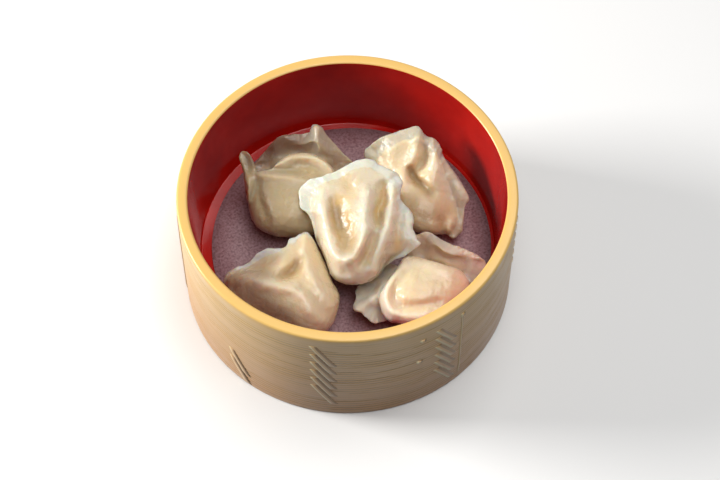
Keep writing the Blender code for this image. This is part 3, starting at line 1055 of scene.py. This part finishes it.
def back_left_dumpling() -> Dumpling:
    """Describe the dumpling at the back left: a round pouch with its seam standing behind it.

    Returns:
        The dumpling, ready to build.
    """
    pouch = Lobe(
        rim=(
            (-53, 43, 22, 0), (-52.5, 34, 17, 0), (-51, 22, 11, 0), (-48.5, 13, 9.5, 0),
            (-44, 7, 9, 0), (-36, 3.2, 8.5, 0), (-24, 3.0, 8.5, 0), (-13, 6, 9.5, 0),
            (-6, 16, 12, 0), (-4.5, 30, 21, 0), (-6.5, 42, 26, 0), (-11, 48.5, 28, 0),
            (-17, 53, 29, 0), (-23, 54.4, 29.5, 0), (-30, 53.2, 29, 0), (-36, 49, 28, 0),
            (-40, 44, 28, 0), (-47, 43, 26, 0),
        ),
        center=(-28, 27),
        crown=27.5,
        under=-7.0,
        pleats=(
            Pleat(((-44, 44.5), (-35, 43.5), (-27, 42.5), (-20, 41.5)), -2.0, 2.0),
            Pleat(((-47, 40.5), (-36, 40), (-24, 38.5)), 1.6, 2.8),
            Pleat(((-37, 47), (-31, 50.5), (-22, 51.8), (-14, 48.8), (-9, 43.5)), 1.6, 2.8),
            Pleat(((-28, 46), (-20, 45.5), (-13, 42)), -1.8, 3.2),
            Pleat(((-46.5, 36), (-44.5, 24), (-40, 12)), -1.2, 2.2),
        ),
    )
    seam = Lobe(
        rim=(
            (-50, 43, 11, 8), (-45.5, 52, 15, 8), (-38.5, 62, 22, 8), (-35, 65.2, 25, 8),
            (-28, 66.3, 26, 8), (-21, 67, 28, 8), (-19, 71.3, 31, 8), (-17, 72.8, 33, 8),
            (-14.5, 71.3, 32, 8), (-10.5, 65, 28, 8), (-3, 55, 22, 8), (2.5, 47, 17, 8),
            (-3, 38, 12, 8), (-22, 36, 9, 8), (-42, 38, 9, 8),
        ),
        center=(-20, 52),
        crown=19.5,
        under=17.5,
        edge=0.9,
        pleats=(
            Pleat(((-17, 71), (-15, 62), (-12, 50)), 2.0, 4.0),
            Pleat(((-22, 66), (-25, 58), (-27, 50)), -2.2, 4.0),
            Pleat(((-34, 64), (-37, 56), (-38, 48)), 1.5, 4.0),
        ),
    )
    tab = Lobe(
        rim=(
            (-56.4, 51, 27, 0), (-54.9, 46, 25, 0), (-53.6, 40, 22, 0), (-52.8, 33, 18, 0),
            (-51.8, 26, 14, 0), (-50.2, 21, 11.5, 0), (-48.6, 25, 14, 0), (-47.6, 31, 18, 0),
            (-46, 37, 22, 0), (-46.8, 44, 26, 0), (-49, 50.5, 28, 0), (-51.5, 54.3, 30, 0),
            (-54, 55.6, 30, 0), (-56, 54.6, 29, 0),
        ),
        center=(-50.8, 42),
        crown=26.5,
        under=18.5,
        edge=1.1,
        pleats=(Pleat(((-54, 54), (-51.5, 46), (-50.2, 37)), -0.9, 1.7),),
    )
    # Body and thin colours darker than the other dumplings' dough: painted shade
    finish = SteamedDough(
        name="dough_tan_shaded",
        body=(0.52, 0.41, 0.25),
        fold=(0.50, 0.36, 0.18),
        ridge=(0.78, 0.66, 0.46),
        thin=(0.48, 0.38, 0.29),
        painted_shade=(0.17, 0.10, 0.07),
    )
    # Painted shade (positive strength) and painted light (negative strength) on this dumpling
    painted_shading = (
        PaintedShading(((-47, 50), (-38, 58), (-30, 61)), 0.95, 7.0),
        PaintedShading(((-44, 43), (-36, 47.5), (-28, 50.5), (-18, 50), (-10, 45)), -0.9, 3.5),
        PaintedShading(((-20, 66), (-12, 58), (-6, 50)), -0.5, 5.0),
        PaintedShading(((-53.5, 34), (-51, 20), (-47, 9), (-38, 4)), 0.55, 2.4),
    )
    return Dumpling("gyoza_back_left", (pouch, seam, tab), finish, painted_shading)


def back_right_dumpling() -> Dumpling:
    """Describe the dumpling at the back right: a wide seam with two deep pleats.

    Returns:
        The dumpling, ready to build.
    """
    fold = Lobe(
        rim=(
            (8, 54, 20, 7), (10, 58.3, 22, 8), (15.5, 63, 25, 8), (22, 66.6, 28, 8),
            (30, 69.5, 31, 8), (35.7, 71.3, 33, 7), (38, 69.6, 32.5, 6),
            (39.8, 66, 31, 6), (46.3, 61.6, 30, 6), (48, 57.5, 28, 6), (50, 50.5, 25, 6),
            (54.5, 42.5, 22, 6), (59, 34, 20, 6), (61.9, 25.8, 17, 6), (59.6, 20.5, 14, 5),
            (58.6, 12, 10, 4), (57.3, 6, 8, 4), (53, 1.2, 7, 3), (49, 4.3, 8, 1),
            (42, 4, 8.5, 0), (30, 8, 8.5, 0), (19, 20, 8.5, 0), (12, 34, 9, 3), (8.5, 47, 15, 6),
        ),
        center=(37, 31),
        crown=23.0,
        under=-6.0,
        edge=0.9,
        pleats=(
            Pleat(((36, 64), (35, 55), (31.5, 47), (28, 39), (26.5, 31)), 2.4, 3.6),
            Pleat(((40, 58), (39, 51), (36.5, 46), (33, 42)), -2.6, 3.0),
            Pleat(((31, 43.5), (34, 38.5), (38, 34), (42, 30)), -3.2, 2.6),
            Pleat(((44, 59), (44.5, 50), (44.5, 41), (43.5, 34)), 2.0, 4.2),
            Pleat(((50, 48), (55, 36), (57.5, 26)), 1.2, 3.8),
            Pleat(((51, 33), (52, 24), (51, 15)), -1.2, 3.0),
            Pleat(((53.5, 13), (53, 4)), 2.0, 3.2),
            Pleat(((48, 13), (47.5, 6)), -2.2, 2.4),
            Pleat(((15.5, 60), (16, 50)), -1.2, 3.6),
            Pleat(((23, 63), (22, 54), (20, 46)), 0.8, 4.0),
        ),
    )
    finish = SteamedDough(
        name="dough_beige",
        body=(0.72, 0.58, 0.37),
        fold=(0.62, 0.40, 0.17),
        ridge=(0.74, 0.64, 0.48),
        thin=(0.55, 0.48, 0.38),
        painted_shade=(0.33, 0.19, 0.085),
    )
    # Painted shade (positive strength) and painted light (negative strength) on this dumpling
    painted_shading = (
        PaintedShading(((31.5, 45), (34, 39), (38, 34), (41, 30)), 0.75, 2.4),
        PaintedShading(((13, 34), (20, 20), (30, 9)), 0.6, 6.0),
        PaintedShading(((43, 6), (50, 4), (57, 9)), 0.5, 5.0),
        PaintedShading(((45, 47), (50, 40), (55, 28)), -1.0, 6.0),
        PaintedShading(((29, 21), (37, 16), (44, 17)), 0.5, 6.0),
    )
    return Dumpling("gyoza_back_right", (fold,), finish, painted_shading)


def front_left_dumpling() -> Dumpling:
    """Describe the dumpling at the front left: a long crest over a shaded belly.

    Returns:
        The dumpling, ready to build.
    """
    fold = Lobe(
        rim=(
            (-21, 6.9, 27, 3), (-24.2, 5.3, 26, 4), (-26.5, 3, 25, 4), (-29.8, 1.7, 25, 4),
            (-31.6, -2.5, 24, 4), (-35.5, -3, 24, 4), (-41, -3.1, 23, 4),
            (-45.3, -5.6, 22, 4), (-48, -9.6, 20, 4), (-52, -13, 18, 4), (-57, -15, 16, 4),
            (-60.6, -18.2, 14, 3), (-61.8, -23, 12, 1), (-60, -30, 9, 0),
            (-54, -38, 7, 0), (-46, -45, 6, 0), (-35, -52, 7, 0), (-23, -56, 8.5, 0),
            (-14, -54.5, 9.5, 0), (-9, -50, 11, 0), (-5.2, -42, 13, 0), (-3.8, -33, 15, 0),
            (-4.6, -28.5, 16, 0), (-7.5, -22.5, 17, 0), (-10, -15, 18, 0),
            (-13.5, -6, 20, 0), (-18, 3.5, 25, 2),
        ),
        center=(-28, -23),
        crown=29.0,
        under=-6.0,
        edge=0.9,
        pleats=(
            Pleat(
                ((-57, -19), (-48, -20.5), (-41, -24), (-33, -25.5), (-26, -28),
                 (-20, -35), (-15, -44)),
                2.7, 4.0,
            ),
            Pleat(((-23, -10), (-27, -16), (-32, -20.5)), -3.8, 3.3),
            Pleat(((-21, 3), (-21.5, -8), (-18.5, -18), (-13.5, -27), (-9, -36)), 2.4, 3.2),
            Pleat(((-34, -8), (-44, -11), (-54, -16.5)), -1.5, 3.0),
            Pleat(((-32, -2), (-33, -10), (-36, -17)), 1.4, 2.6),
        ),
    )
    finish = SteamedDough(
        name="dough_rosy",
        body=(0.76, 0.60, 0.37),
        fold=(0.50, 0.29, 0.12),
        ridge=(0.86, 0.75, 0.58),
        thin=(0.82, 0.74, 0.68),
        painted_shade=(0.20, 0.10, 0.065),
    )
    # Painted shade (positive strength) and painted light (negative strength) on this dumpling
    painted_shading = (
        PaintedShading(((-57, -25), (-48, -31), (-40, -37), (-31, -44), (-25, -50)), 0.85, 7.5),
        PaintedShading(((-50, -19), (-43, -18.5), (-36, -19)), 0.3, 3.0),
        PaintedShading(((-26, -30), (-20, -36), (-15, -44)), -0.5, 5.0),
        PaintedShading(((-57, -17), (-47, -11), (-36, -6), (-24, 2)), -0.6, 3.0),
    )
    return Dumpling("gyoza_front_left", (fold,), finish, painted_shading)


def front_right_dumpling() -> Dumpling:
    """Describe the dumpling at the front right: a rimmed pouch, its seam behind and a tab.

    Returns:
        The dumpling, ready to build.
    """
    pouch = Lobe(
        rim=(
            (31, -7.6, 22, 0), (36, -8.8, 25, 0), (43, -11.2, 27, 0), (50, -13.8, 27, 0),
            (54.5, -15.3, 26, 0), (58, -18.5, 23, 0), (60.6, -23.5, 20, 0),
            (60, -29, 17, 0), (57, -35, 14, 0), (52, -41.5, 12, 0), (44, -48, 11, 0),
            (35, -51, 10.5, 0), (26, -47.3, 10.5, 0), (20, -45.6, 10.5, 0), (16.8, -41, 12.5, 0),
            (15.3, -35.5, 14, 0), (15.6, -30, 18, 0), (18, -25, 21, 0),
            (21.5, -19, 22, 0), (25.3, -13, 22, 0), (27.8, -9, 21.5, 0),
        ),
        center=(38, -29),
        crown=29.5,
        under=-7.0,
        pleats=(
            Pleat(
                ((30, -10.5), (24.5, -16.5), (20, -23), (18, -29), (18.5, -35.5),
                 (21.5, -41), (28, -43.5), (36, -43.5), (46, -41)),
                2.6, 3.6,
            ),
            Pleat(
                ((27, -18), (23.5, -26), (23.3, -33), (27, -36.8), (35, -36.5), (44, -34.5)),
                -2.2, 2.6,
            ),
            Pleat(((35, -12), (45, -15), (54, -18.5)), 1.0, 3.0),
        ),
    )
    seam = Lobe(
        rim=(
            (32.5, 3, 21, 8), (36, 5.6, 24, 8), (40, 6.2, 25, 8), (43.3, 4.9, 25, 8),
            (46.5, 2.2, 24, 8), (50, 0, 24, 8), (60, -4.4, 22.5, 8), (65, -7.4, 21, 8),
            (68.4, -11, 19, 8), (69, -14.5, 17, 8), (66.5, -20, 14, 8), (60, -25, 11, 8),
            (48, -24, 10, 8), (36, -18, 10, 8), (29, -7, 13, 8),
        ),
        center=(48, -10),
        crown=17.5,
        under=15.5,
        edge=0.9,
        pleats=(
            Pleat(((40, 5), (38, -2), (36, -8)), -1.6, 3.0),
            Pleat(((63, -7), (62, -13), (60, -19)), 1.6, 4.0),
        ),
    )
    tab = Lobe(
        rim=(
            (4.2, -26, 10, 8), (3.4, -32, 11, 8), (2.1, -37, 11.5, 8), (3, -40, 11.5, 8),
            (6.3, -40.7, 11, 8), (9, -44, 10.5, 8), (12, -46.7, 10, 8), (15.5, -46.7, 9, 8),
            (21, -43.5, 7, 8), (25, -34, 6, 8), (26, -22, 9, 8), (25, -14, 10, 8),
            (20, -13, 8, 8), (12, -19, 6, 8),
        ),
        center=(14, -31),
        crown=12.0,
        under=4.0,
        edge=1.0,
        pleats=(
            Pleat(((5, -38), (10, -34), (15, -29)), 1.4, 2.6),
            Pleat(((9, -42), (13, -38)), -1.2, 1.8),
        ),
    )
    finish = SteamedDough(
        name="dough_blush",
        body=(0.74, 0.61, 0.40),
        fold=(0.68, 0.50, 0.30),
        ridge=(0.84, 0.76, 0.66),
        thin=(0.66, 0.53, 0.44),
        painted_shade=(0.45, 0.28, 0.20),
    )
    # Painted shade (positive strength) and painted light (negative strength) on this dumpling
    painted_shading = (
        PaintedShading(((38, 0), (48, -6), (58, -10)), 0.45, 6.0),
        PaintedShading(((19.5, -42), (26, -46), (35, -49), (46, -46)), -1.0, 4.5),
        PaintedShading(((6, -33), (13, -38)), -1.0, 8.0),
    )
    return Dumpling("gyoza_front_right", (pouch, seam, tab), finish, painted_shading)


def center_dumpling() -> Dumpling:
    """Describe the dumpling on top: a wide ruffled seam with deep valleys.

    Returns:
        The dumpling, ready to build.
    """
    fold = Lobe(
        rim=(
            (-25.5, 28, 30.5, 6), (-24.4, 21, 30, 5), (-21.5, 17.6, 29, 4),
            (-19.5, 14, 28, 3), (-18, 8.5, 26, 2), (-16, 0.5, 22, 1), (-12.8, -7, 19, 0),
            (-10.8, -13, 18, 0), (-8.5, -19.7, 17, 0), (-4.5, -23.4, 16.5, 0),
            (3, -25.1, 16.5, 0), (10, -23.6, 17, 0), (15, -20, 17.5, 0), (19, -14.8, 19, 1),
            (23, -11.2, 20, 2), (28, -8.7, 23, 3), (33, -5.2, 26, 4), (37.1, -1, 29, 5),
            (35.2, 1.2, 29.5, 5), (34.4, 5, 30.5, 5), (32.9, 8.6, 31, 5),
            (33.8, 12, 32, 5), (33, 16.5, 33, 5), (31, 20.6, 33, 5), (27.6, 24.5, 34, 5),
            (27, 30, 35.5, 5), (28.4, 36, 37, 6), (26, 41, 38.5, 6), (20, 45, 39.5, 6),
            (16, 47, 39.5, 6), (13.5, 49.7, 40, 6), (9, 50.4, 40, 6), (3, 49, 39.5, 6),
            (-2, 46, 38.5, 6), (-8, 42.2, 37, 6), (-15, 39.4, 35.5, 6),
            (-21, 37, 33.5, 6), (-24.4, 33, 31.5, 6),
        ),
        center=(4, 12),
        crown=38.0,
        under=9.0,
        edge=1.0,
        pleats=(
            Pleat(((-5.4, 23), (-4, 14), (-1, 4), (-0.2, -4)), -4.8, 5.4),
            Pleat(((-14, 31), (-12.5, 15), (-11, 3), (-8.5, -5), (-4, -9.5), (1, -10)), 2.2, 3.9),
            Pleat(((9.5, 29), (8.5, 18), (8.5, 8), (7, 0), (4, -6), (0, -9.5)), 2.8, 3.6),
            Pleat(((19, 34), (17.8, 25), (15.2, 18), (15.8, 11)), -3.6, 2.8),
            Pleat(((22.5, 33), (22.5, 20), (20, 8), (16, -4), (13.5, -16)), 2.6, 3.2),
            Pleat(((12.5, 3), (10, -5.5), (6, -13)), -2.8, 3.2),
            Pleat(((24.5, 13), (25.2, 3), (24, -6)), -2.4, 2.4),
            Pleat(((30, 18), (29.5, 6), (33, -1.5)), 1.4, 3.4),
            Pleat(((-11, -11), (-6, -15.5), (0, -18), (6, -17.5)), -0.5, 2.6),
            Pleat(((-4, 40), (0, 34), (2, 28)), -1.4, 4.0),
        ),
    )
    finish = SteamedDough(
        name="dough_cream",
        body=(0.72, 0.62, 0.45),
        fold=(0.74, 0.48, 0.18),
        ridge=(0.80, 0.76, 0.64),
        thin=(0.80, 0.76, 0.65),
        painted_shade=(0.36, 0.235, 0.12),
    )
    # Painted shade (positive strength) and painted light (negative strength) on this dumpling
    painted_shading = (
        PaintedShading(((-5, 19), (-3.4, 12), (-0.6, 4), (0.4, -3)), 0.8, 4.2),
        PaintedShading(((-7, -20), (3, -24), (13, -21)), -0.7, 5.0),
        PaintedShading(((29, 20), (29.5, 10), (32, 2)), -1.0, 4.5),
        PaintedShading(((16.5, 17), (15.6, 12)), 0.35, 1.8),
        PaintedShading(((9, -4), (7, -12)), 0.2, 2.4),
    )
    return Dumpling("gyoza_center", (fold,), finish, painted_shading)


# Bowl


@dataclass(frozen=True)
class Lashing:
    """One group of slanted bars: degrees from the front, upper end, number of bars."""

    angle: float
    top: float
    bars: int


@dataclass(frozen=True)
class Bar:
    """One raised bar: degrees from the front, upper end, width, drop and run round the wall."""

    angle: float
    top: float
    width: float
    drop: float
    run: float = 0.0


@dataclass
class SteamerBowl:
    """The moulded bowl: a turned shell with uneven grooves, and its lashing bars.

    A groove sway is (waves round the wall, phase, lean with height, reach in metres). The
    beads are the raised details that stand alone: a line, a knob on it and two nubs.
    """

    rim_width: float = 0.0055
    floor_top: float = 0.0257
    floor_radius: float = 0.0735
    floor_thickness: float = 0.0032
    skirt_thickness: float = 0.0045
    edge_round: float = 0.0012
    foot_round: float = 0.0006
    segments: int = 288
    groove_pitch: float = 0.00215
    groove_depth: float = 0.00040
    groove_start: float = 0.45
    groove_power: float = 1.6
    groove_fade: float = 0.0015
    groove_sways: tuple = ((3, 0.7, 0.0, 0.00020), (7, 0.0, 300.0, 0.00015))
    groove_strength: float = 0.55
    groove_variation: float = 0.45
    row_scatter: float = 12.9898
    row_swing: float = 2.1
    wall_low: float = 0.0022
    wall_high: float = 0.0690
    wall_rows: int = 150
    bar_width: float = 0.0040
    bar_run: float = 0.0095
    bar_drop: float = 0.0170
    bar_pitch: float = 0.0076
    bar_inset: float = 0.0012
    bar_cuts: int = 7
    bar_tip: float = 0.35
    bar_rise: float = 9.0
    bar_edge: tuple = (0.2, 0.3)
    touch: float = 0.0001
    shell_crease: float = 50.0
    bar_crease: float = 40.0
    arc_steps: int = 6
    slope_steps: int = 21
    floor_rings: tuple = (0.06, 0.03)
    beads: tuple = (
        Bar(41.3, 0.0615, 0.0011, 0.0547), Bar(41.3, 0.0640, 0.0030, 0.0030),
        Bar(25.7, 0.0600, 0.0032, 0.0018), Bar(24.7, 0.0405, 0.0034, 0.0018),
    )
    lashings: tuple = field(default_factory=lambda: (
        Lashing(-43.0, 0.0265, 2), Lashing(-11.2, 0.0655, 6), Lashing(31.5, 0.0620, 6),
        *(Lashing(83.5 + 47.5 * group, 0.0640, 6) for group in range(5)),
    ))

    def rounded(self, center: tuple, radius: float, start: float, turn: float) -> list:
        """Return the points of a rounded edge in the profile.

        Args:
            center: Middle of the arc, as (radius, height).
            radius: Radius of the arc.
            start: Degrees at which it starts.
            turn: Degrees that it turns.

        Returns:
            Its points, as (radius, height).
        """
        angles = [math.radians(start + turn * step / self.arc_steps)
                  for step in range(self.arc_steps + 1)]
        return [(center[0] + radius * math.cos(angle), center[1] + radius * math.sin(angle))
                for angle in angles]

    def profile(self) -> tuple:
        """Work out the bowl's profile, from the recess over the rim to the floor's middle.

        Returns:
            The outer and the inner stretch, each a list of (radius, height).
        """
        skirt_inner = OUTER_RADIUS - self.skirt_thickness
        recess_top = self.floor_top - self.floor_thickness
        rim_inner = OUTER_RADIUS - self.rim_width
        soft = self.edge_round
        outer = [(skirt_inner - soft, recess_top), (skirt_inner, recess_top - soft),
                 (skirt_inner, soft / 2), (skirt_inner + soft / 2, 0.0),
                 (OUTER_RADIUS - soft, 0.0)]
        outer += self.rounded((OUTER_RADIUS - soft, soft), soft, -90.0, 90.0)[1:]
        for row in range(self.wall_rows + 1):
            share = row / self.wall_rows
            outer.append((OUTER_RADIUS, self.wall_low + (self.wall_high - self.wall_low) * share))
        outer += self.rounded((OUTER_RADIUS - soft, BOWL_HEIGHT - soft), soft, 0.0, 90.0)
        inner = self.rounded((rim_inner + soft, BOWL_HEIGHT - soft), soft, 90.0, 90.0)
        low = self.foot_round
        lip = inner[-1]
        foot = (self.floor_radius, self.floor_top + low)
        for step in range(1, self.slope_steps):
            share = step / self.slope_steps
            inner.append((lip[0] + (foot[0] - lip[0]) * share,
                          lip[1] + (foot[1] - lip[1]) * share))
        inner += self.rounded((self.floor_radius - low, self.floor_top + low), low, 0.0, -90.0)
        inner += [(radius, self.floor_top) for radius in self.floor_rings]
        return outer, inner

    def turn_shell(self) -> bpy.types.Object:
        """Turn the shell from a ring that is extruded along the profile.

        Returns:
            The shell as an object with its mesh in place.
        """
        outer, inner = self.profile()
        points = outer + inner
        deselect_all()
        first = points[0]
        bpy.ops.mesh.primitive_circle_add(vertices=self.segments, radius=first[0], fill_type="NGON",
                                          location=(0.0, 0.0, first[1]))
        shell = bpy.context.object
        bpy.ops.object.transform_apply(location=True, rotation=True, scale=True)
        bpy.ops.object.mode_set(mode="EDIT")
        bpy.ops.mesh.select_mode(type="FACE")
        bpy.ops.mesh.select_all(action="SELECT")
        for (radius, height), (wider, higher) in zip(points, points[1:]):
            bpy.ops.mesh.extrude_region_move(
                TRANSFORM_OT_translate={"value": (0.0, 0.0, higher - height)})
            scale = wider / radius
            bpy.ops.transform.resize(value=(scale, scale, 1.0))
        bpy.ops.object.mode_set(mode="OBJECT")
        return shell

    def groove_field(self, turn: np.ndarray, height: np.ndarray) -> np.ndarray:
        """Return how deep the grooves are, from 0 to 1, at places on the wall.

        Args:
            turn: Angles round the wall, in radians.
            height: Heights, in metres.

        Returns:
            The share of the groove depth.
        """
        sway = sum(reach * np.sin(waves * turn + phase + height * lean)
                   for waves, phase, lean, reach in self.groove_sways)
        phase = (height + sway) / self.groove_pitch
        row = np.floor(phase)
        scatter = np.sin(row * self.row_scatter + self.row_swing * np.sin(turn * 2 + row))
        strength = self.groove_strength + self.groove_variation * scatter
        local = np.abs(phase - row - 0.5) * 2
        groove = np.clip((local - self.groove_start) / (1.0 - self.groove_start), 0.0, 1.0)
        groove = groove ** self.groove_power
        fade = np.clip((height - self.wall_low) / self.groove_fade, 0.0, 1.0)
        fade *= np.clip((self.wall_high - height) / self.groove_fade, 0.0, 1.0)
        return groove * strength * fade

    def carve_grooves(self, shell: bpy.types.Object) -> None:
        """Press the uneven grooves into the outer wall and store where they are.

        Args:
            shell: The turned shell.
        """
        places = point_values(shell, "co")
        radius = np.hypot(places[:, 0], places[:, 1])
        turn = np.arctan2(places[:, 0], -places[:, 1])
        on_wall = radius > OUTER_RADIUS - self.touch / 10
        depth = np.where(on_wall, self.groove_field(turn, places[:, 2]), 0.0)
        shrink = 1.0 - depth * self.groove_depth / OUTER_RADIUS
        places[:, 0] *= shrink
        places[:, 1] *= shrink
        shell.data.vertices.foreach_set("co", places.ravel())
        # The material darkens the wall by this share as painted shade in the grooves
        write_attribute(shell, "groove", depth)

    def paint_sides(self, shell: bpy.types.Object) -> None:
        """Give the inside the lacquer and the rest the bamboo plastic.

        Args:
            shell: The shell, with both materials in place.
        """
        widest = OUTER_RADIUS - self.rim_width + self.touch
        lowest = self.floor_top - self.touch
        for face in shell.data.polygons:
            radius = math.hypot(face.center.x, face.center.y)
            inside = radius < widest and face.center.z > lowest
            face.material_index = (Face.LACQUER if inside else Face.BAMBOO).value

    def plain_bar(self) -> bpy.types.Object:
        """Model the bar that the lashings repeat, with painted shade along one long edge and a
        painted highlight along the other.

        Returns:
            A finely divided bar, one unit each way.
        """
        deselect_all()
        bpy.ops.mesh.primitive_cube_add(size=1.0, location=(0.0, 0.0, 0.0))
        bar = bpy.context.object
        bpy.ops.object.mode_set(mode="EDIT")
        bpy.ops.mesh.select_all(action="SELECT")
        bpy.ops.mesh.subdivide(number_cuts=self.bar_cuts)
        bpy.ops.object.mode_set(mode="OBJECT")
        sides = np.array([2.0 * vertex.co.x for vertex in bar.data.vertices])
        start, span = self.bar_edge
        # Painted shade on one long edge of the bar, painted highlight on the other
        write_attribute(bar, "groove", np.clip((sides - start) / span, 0.0, 1.0))
        write_attribute(bar, "edge_highlight", np.clip((-sides - start) / span, 0.0, 1.0))
        return bar

    def laid_bar(self, plain: bpy.types.Object, bar: Bar) -> bpy.types.Object:
        """Copy the plain bar and lay it round the wall.

        Args:
            plain: The bar to copy.
            bar: Where it lies and how large it is.

        Returns:
            The copy, with its place in its own mesh.
        """
        laid = plain.copy()
        laid.data = plain.data.copy()
        bpy.context.scene.collection.objects.link(laid)
        for vertex in laid.data.vertices:
            side, proud, along = 2.0 * vertex.co.x, 0.5 - vertex.co.y, 0.5 - vertex.co.z
            tip = min(along, 1.0 - along)
            crown = math.sqrt(max(0.0, 1.0 - side ** 4))
            crown *= min(1.0, self.bar_tip + tip * self.bar_rise)
            radius = OUTER_RADIUS - self.bar_inset
            radius += proud * (self.bar_inset + BAR_RELIEF * crown)
            across = side * bar.width / 2 + bar.run * along
            turn = math.radians(bar.angle) + across / OUTER_RADIUS
            vertex.co = (radius * math.sin(turn), -radius * math.cos(turn),
                         bar.top - bar.drop * along)
        return laid

    def build(self) -> None:
        """Build the shell and its lashing bars."""
        plastic = BambooPlastic().build()
        shell = self.turn_shell()
        shell.name = "steamer_bowl_shell"
        self.carve_grooves(shell)
        shell.data.materials.append(plastic)
        shell.data.materials.append(RedLacquer().build())
        self.paint_sides(shell)
        self.smooth(shell, self.shell_crease)
        finish_piece(shell, "bowl_plastic", "steamer_bowl")
        plan = list(self.beads)
        for lashing in self.lashings:
            for index in range(lashing.bars):
                top = lashing.top - index * self.bar_pitch
                plan.append(Bar(lashing.angle, top, self.bar_width, self.bar_drop, self.bar_run))
        plain = self.plain_bar()
        bars = [self.laid_bar(plain, bar) for bar in plan]
        bpy.data.objects.remove(plain)
        joined = joined_objects(bars)
        joined.name = "lashing_bars"
        face_outwards(joined)
        joined.data.materials.append(plastic)
        self.smooth(joined, self.bar_crease)
        finish_piece(joined, "bowl_plastic")

    @staticmethod
    def smooth(obj: bpy.types.Object, angle: float) -> None:
        """Shade a piece smooth up to an angle in degrees."""
        make_active(obj)
        bpy.ops.object.shade_smooth_by_angle(angle=math.radians(angle))


@dataclass
class PaperDisc:
    """The thin round paper on the bowl's floor."""

    thickness: float = 0.00025
    segments: int = 240
    cuts: int = 5
    sag: float = 0.00010
    waves: tuple = (130.0, 70.0, 95.0)
    swing: float = 1.3

    def build(self) -> None:
        """Build the paper as a thin, faintly cockled disc."""
        deselect_all()
        bpy.ops.mesh.primitive_circle_add(vertices=self.segments, radius=PAPER_RADIUS,
                                          fill_type="TRIFAN", location=(0.0, 0.0, 0.0))
        paper = bpy.context.object
        bpy.ops.object.mode_set(mode="EDIT")
        bpy.ops.mesh.select_all(action="SELECT")
        bpy.ops.mesh.subdivide(number_cuts=self.cuts)
        bpy.ops.object.mode_set(mode="OBJECT")
        base = PAPER_TOP - self.thickness - self.sag
        across, bend, along = self.waves
        for vertex in paper.data.vertices:
            x, y = vertex.co.x, vertex.co.y
            bent = x * across + self.swing * math.sin(y * bend)
            wave = math.sin(bent) * math.cos(y * along)
            vertex.co = (x + PAPER_SHIFT_X, y, base + self.sag * (0.5 + 0.5 * wave))
        apply_modifier(paper, "SOLIDIFY", thickness=self.thickness, offset=1.0)
        paper.name = "steaming_paper"
        paper.data.shade_smooth()
        paper.data.materials.append(SteamingPaper().build())
        finish_piece(paper, "paper", "paper_disc")


# Studio


@dataclass(frozen=True)
class SoftLight:
    """One square light: its place and side in metres, its watts and its colour."""

    name: str
    place: tuple
    side: float
    power: float
    color: tuple


@dataclass
class Studio:
    """Pale floor, soft lights and the camera."""

    floor_size: float = 6.0
    floor_tone: float = 0.93
    floor_roughness: float = 0.9
    room_light: float = 0.09
    aim: tuple = (0.0, 0.0, 0.04)
    camera_tilt: float = 31.77
    lens: float = 100.0
    sensor: float = 36.0
    lights: tuple = (
        SoftLight("side_light", (-0.98, 0.12, 0.44), 0.35, 14.5, (1.0, 0.98, 0.95)),
        SoftLight("top_light", (0.26, 0.26, 1.0), 0.62, 4.1, (1.0, 0.99, 0.97)),
        SoftLight("fill_light", (0.14, -0.26, 1.05), 0.50, 4.0, (1.0, 1.0, 1.0)),
    )

    def floor(self) -> None:
        """Lay the pale floor."""
        deselect_all()
        bpy.ops.mesh.primitive_plane_add(size=self.floor_size, location=(0.0, 0.0, 0.0))
        floor = bpy.context.object
        floor.name = "studio_floor"
        material, _, shader = Finish.start("pale_floor")
        shader.inputs["Base Color"].default_value = (*[self.floor_tone] * 3, 1.0)
        shader.inputs["Roughness"].default_value = self.floor_roughness
        floor.data.materials.append(material)
        floor.visible_diffuse = False

    def hang(self, light: SoftLight) -> None:
        """Hang one soft light that faces the bowl.

        Args:
            light: The light.
        """
        data = bpy.data.lights.new(light.name, "AREA")
        data.size = light.side
        data.energy = light.power
        data.color = light.color
        lamp = bpy.data.objects.new(light.name, data)
        lamp.location = light.place
        way = Vector(self.aim) - Vector(light.place)
        lamp.rotation_euler = way.to_track_quat("-Z", "Y").to_euler()
        bpy.context.scene.collection.objects.link(lamp)

    def sky(self) -> None:
        """Set the even light of the room."""
        world = bpy.data.worlds.new("studio_light")
        world.use_nodes = True
        background = world.node_tree.nodes["Background"]
        background.inputs["Color"].default_value = (1.0, 1.0, 1.0, 1.0)
        background.inputs["Strength"].default_value = self.room_light
        bpy.context.scene.world = world

    def camera(self) -> None:
        """Set the camera at the photograph's viewing angle."""
        data = bpy.data.cameras.new("photo_camera")
        data.lens = self.lens
        data.sensor_width = self.sensor
        camera = bpy.data.objects.new("photo_camera", data)
        camera.location = SIGHT_APEX
        camera.rotation_euler = (math.radians(self.camera_tilt), 0.0, 0.0)
        bpy.context.scene.collection.objects.link(camera)
        bpy.context.scene.camera = camera

    def build(self) -> None:
        """Set up the whole studio."""
        self.camera()
        self.floor()
        for light in self.lights:
            self.hang(light)
        self.sky()
        bpy.context.scene.view_settings.view_transform = "Standard"


def main() -> None:
    """Build the studio and every piece, in order."""
    logging.basicConfig(level=logging.INFO, format="%(name)s: %(message)s")
    Studio().build()
    SteamerBowl().build()
    PaperDisc().build()
    trees: list = []
    for dumpling in (back_left_dumpling(), back_right_dumpling(), front_left_dumpling(),
                     front_right_dumpling(), center_dumpling()):
        trees.append(dumpling.build(trees))


if __name__ == "__main__":
    main()
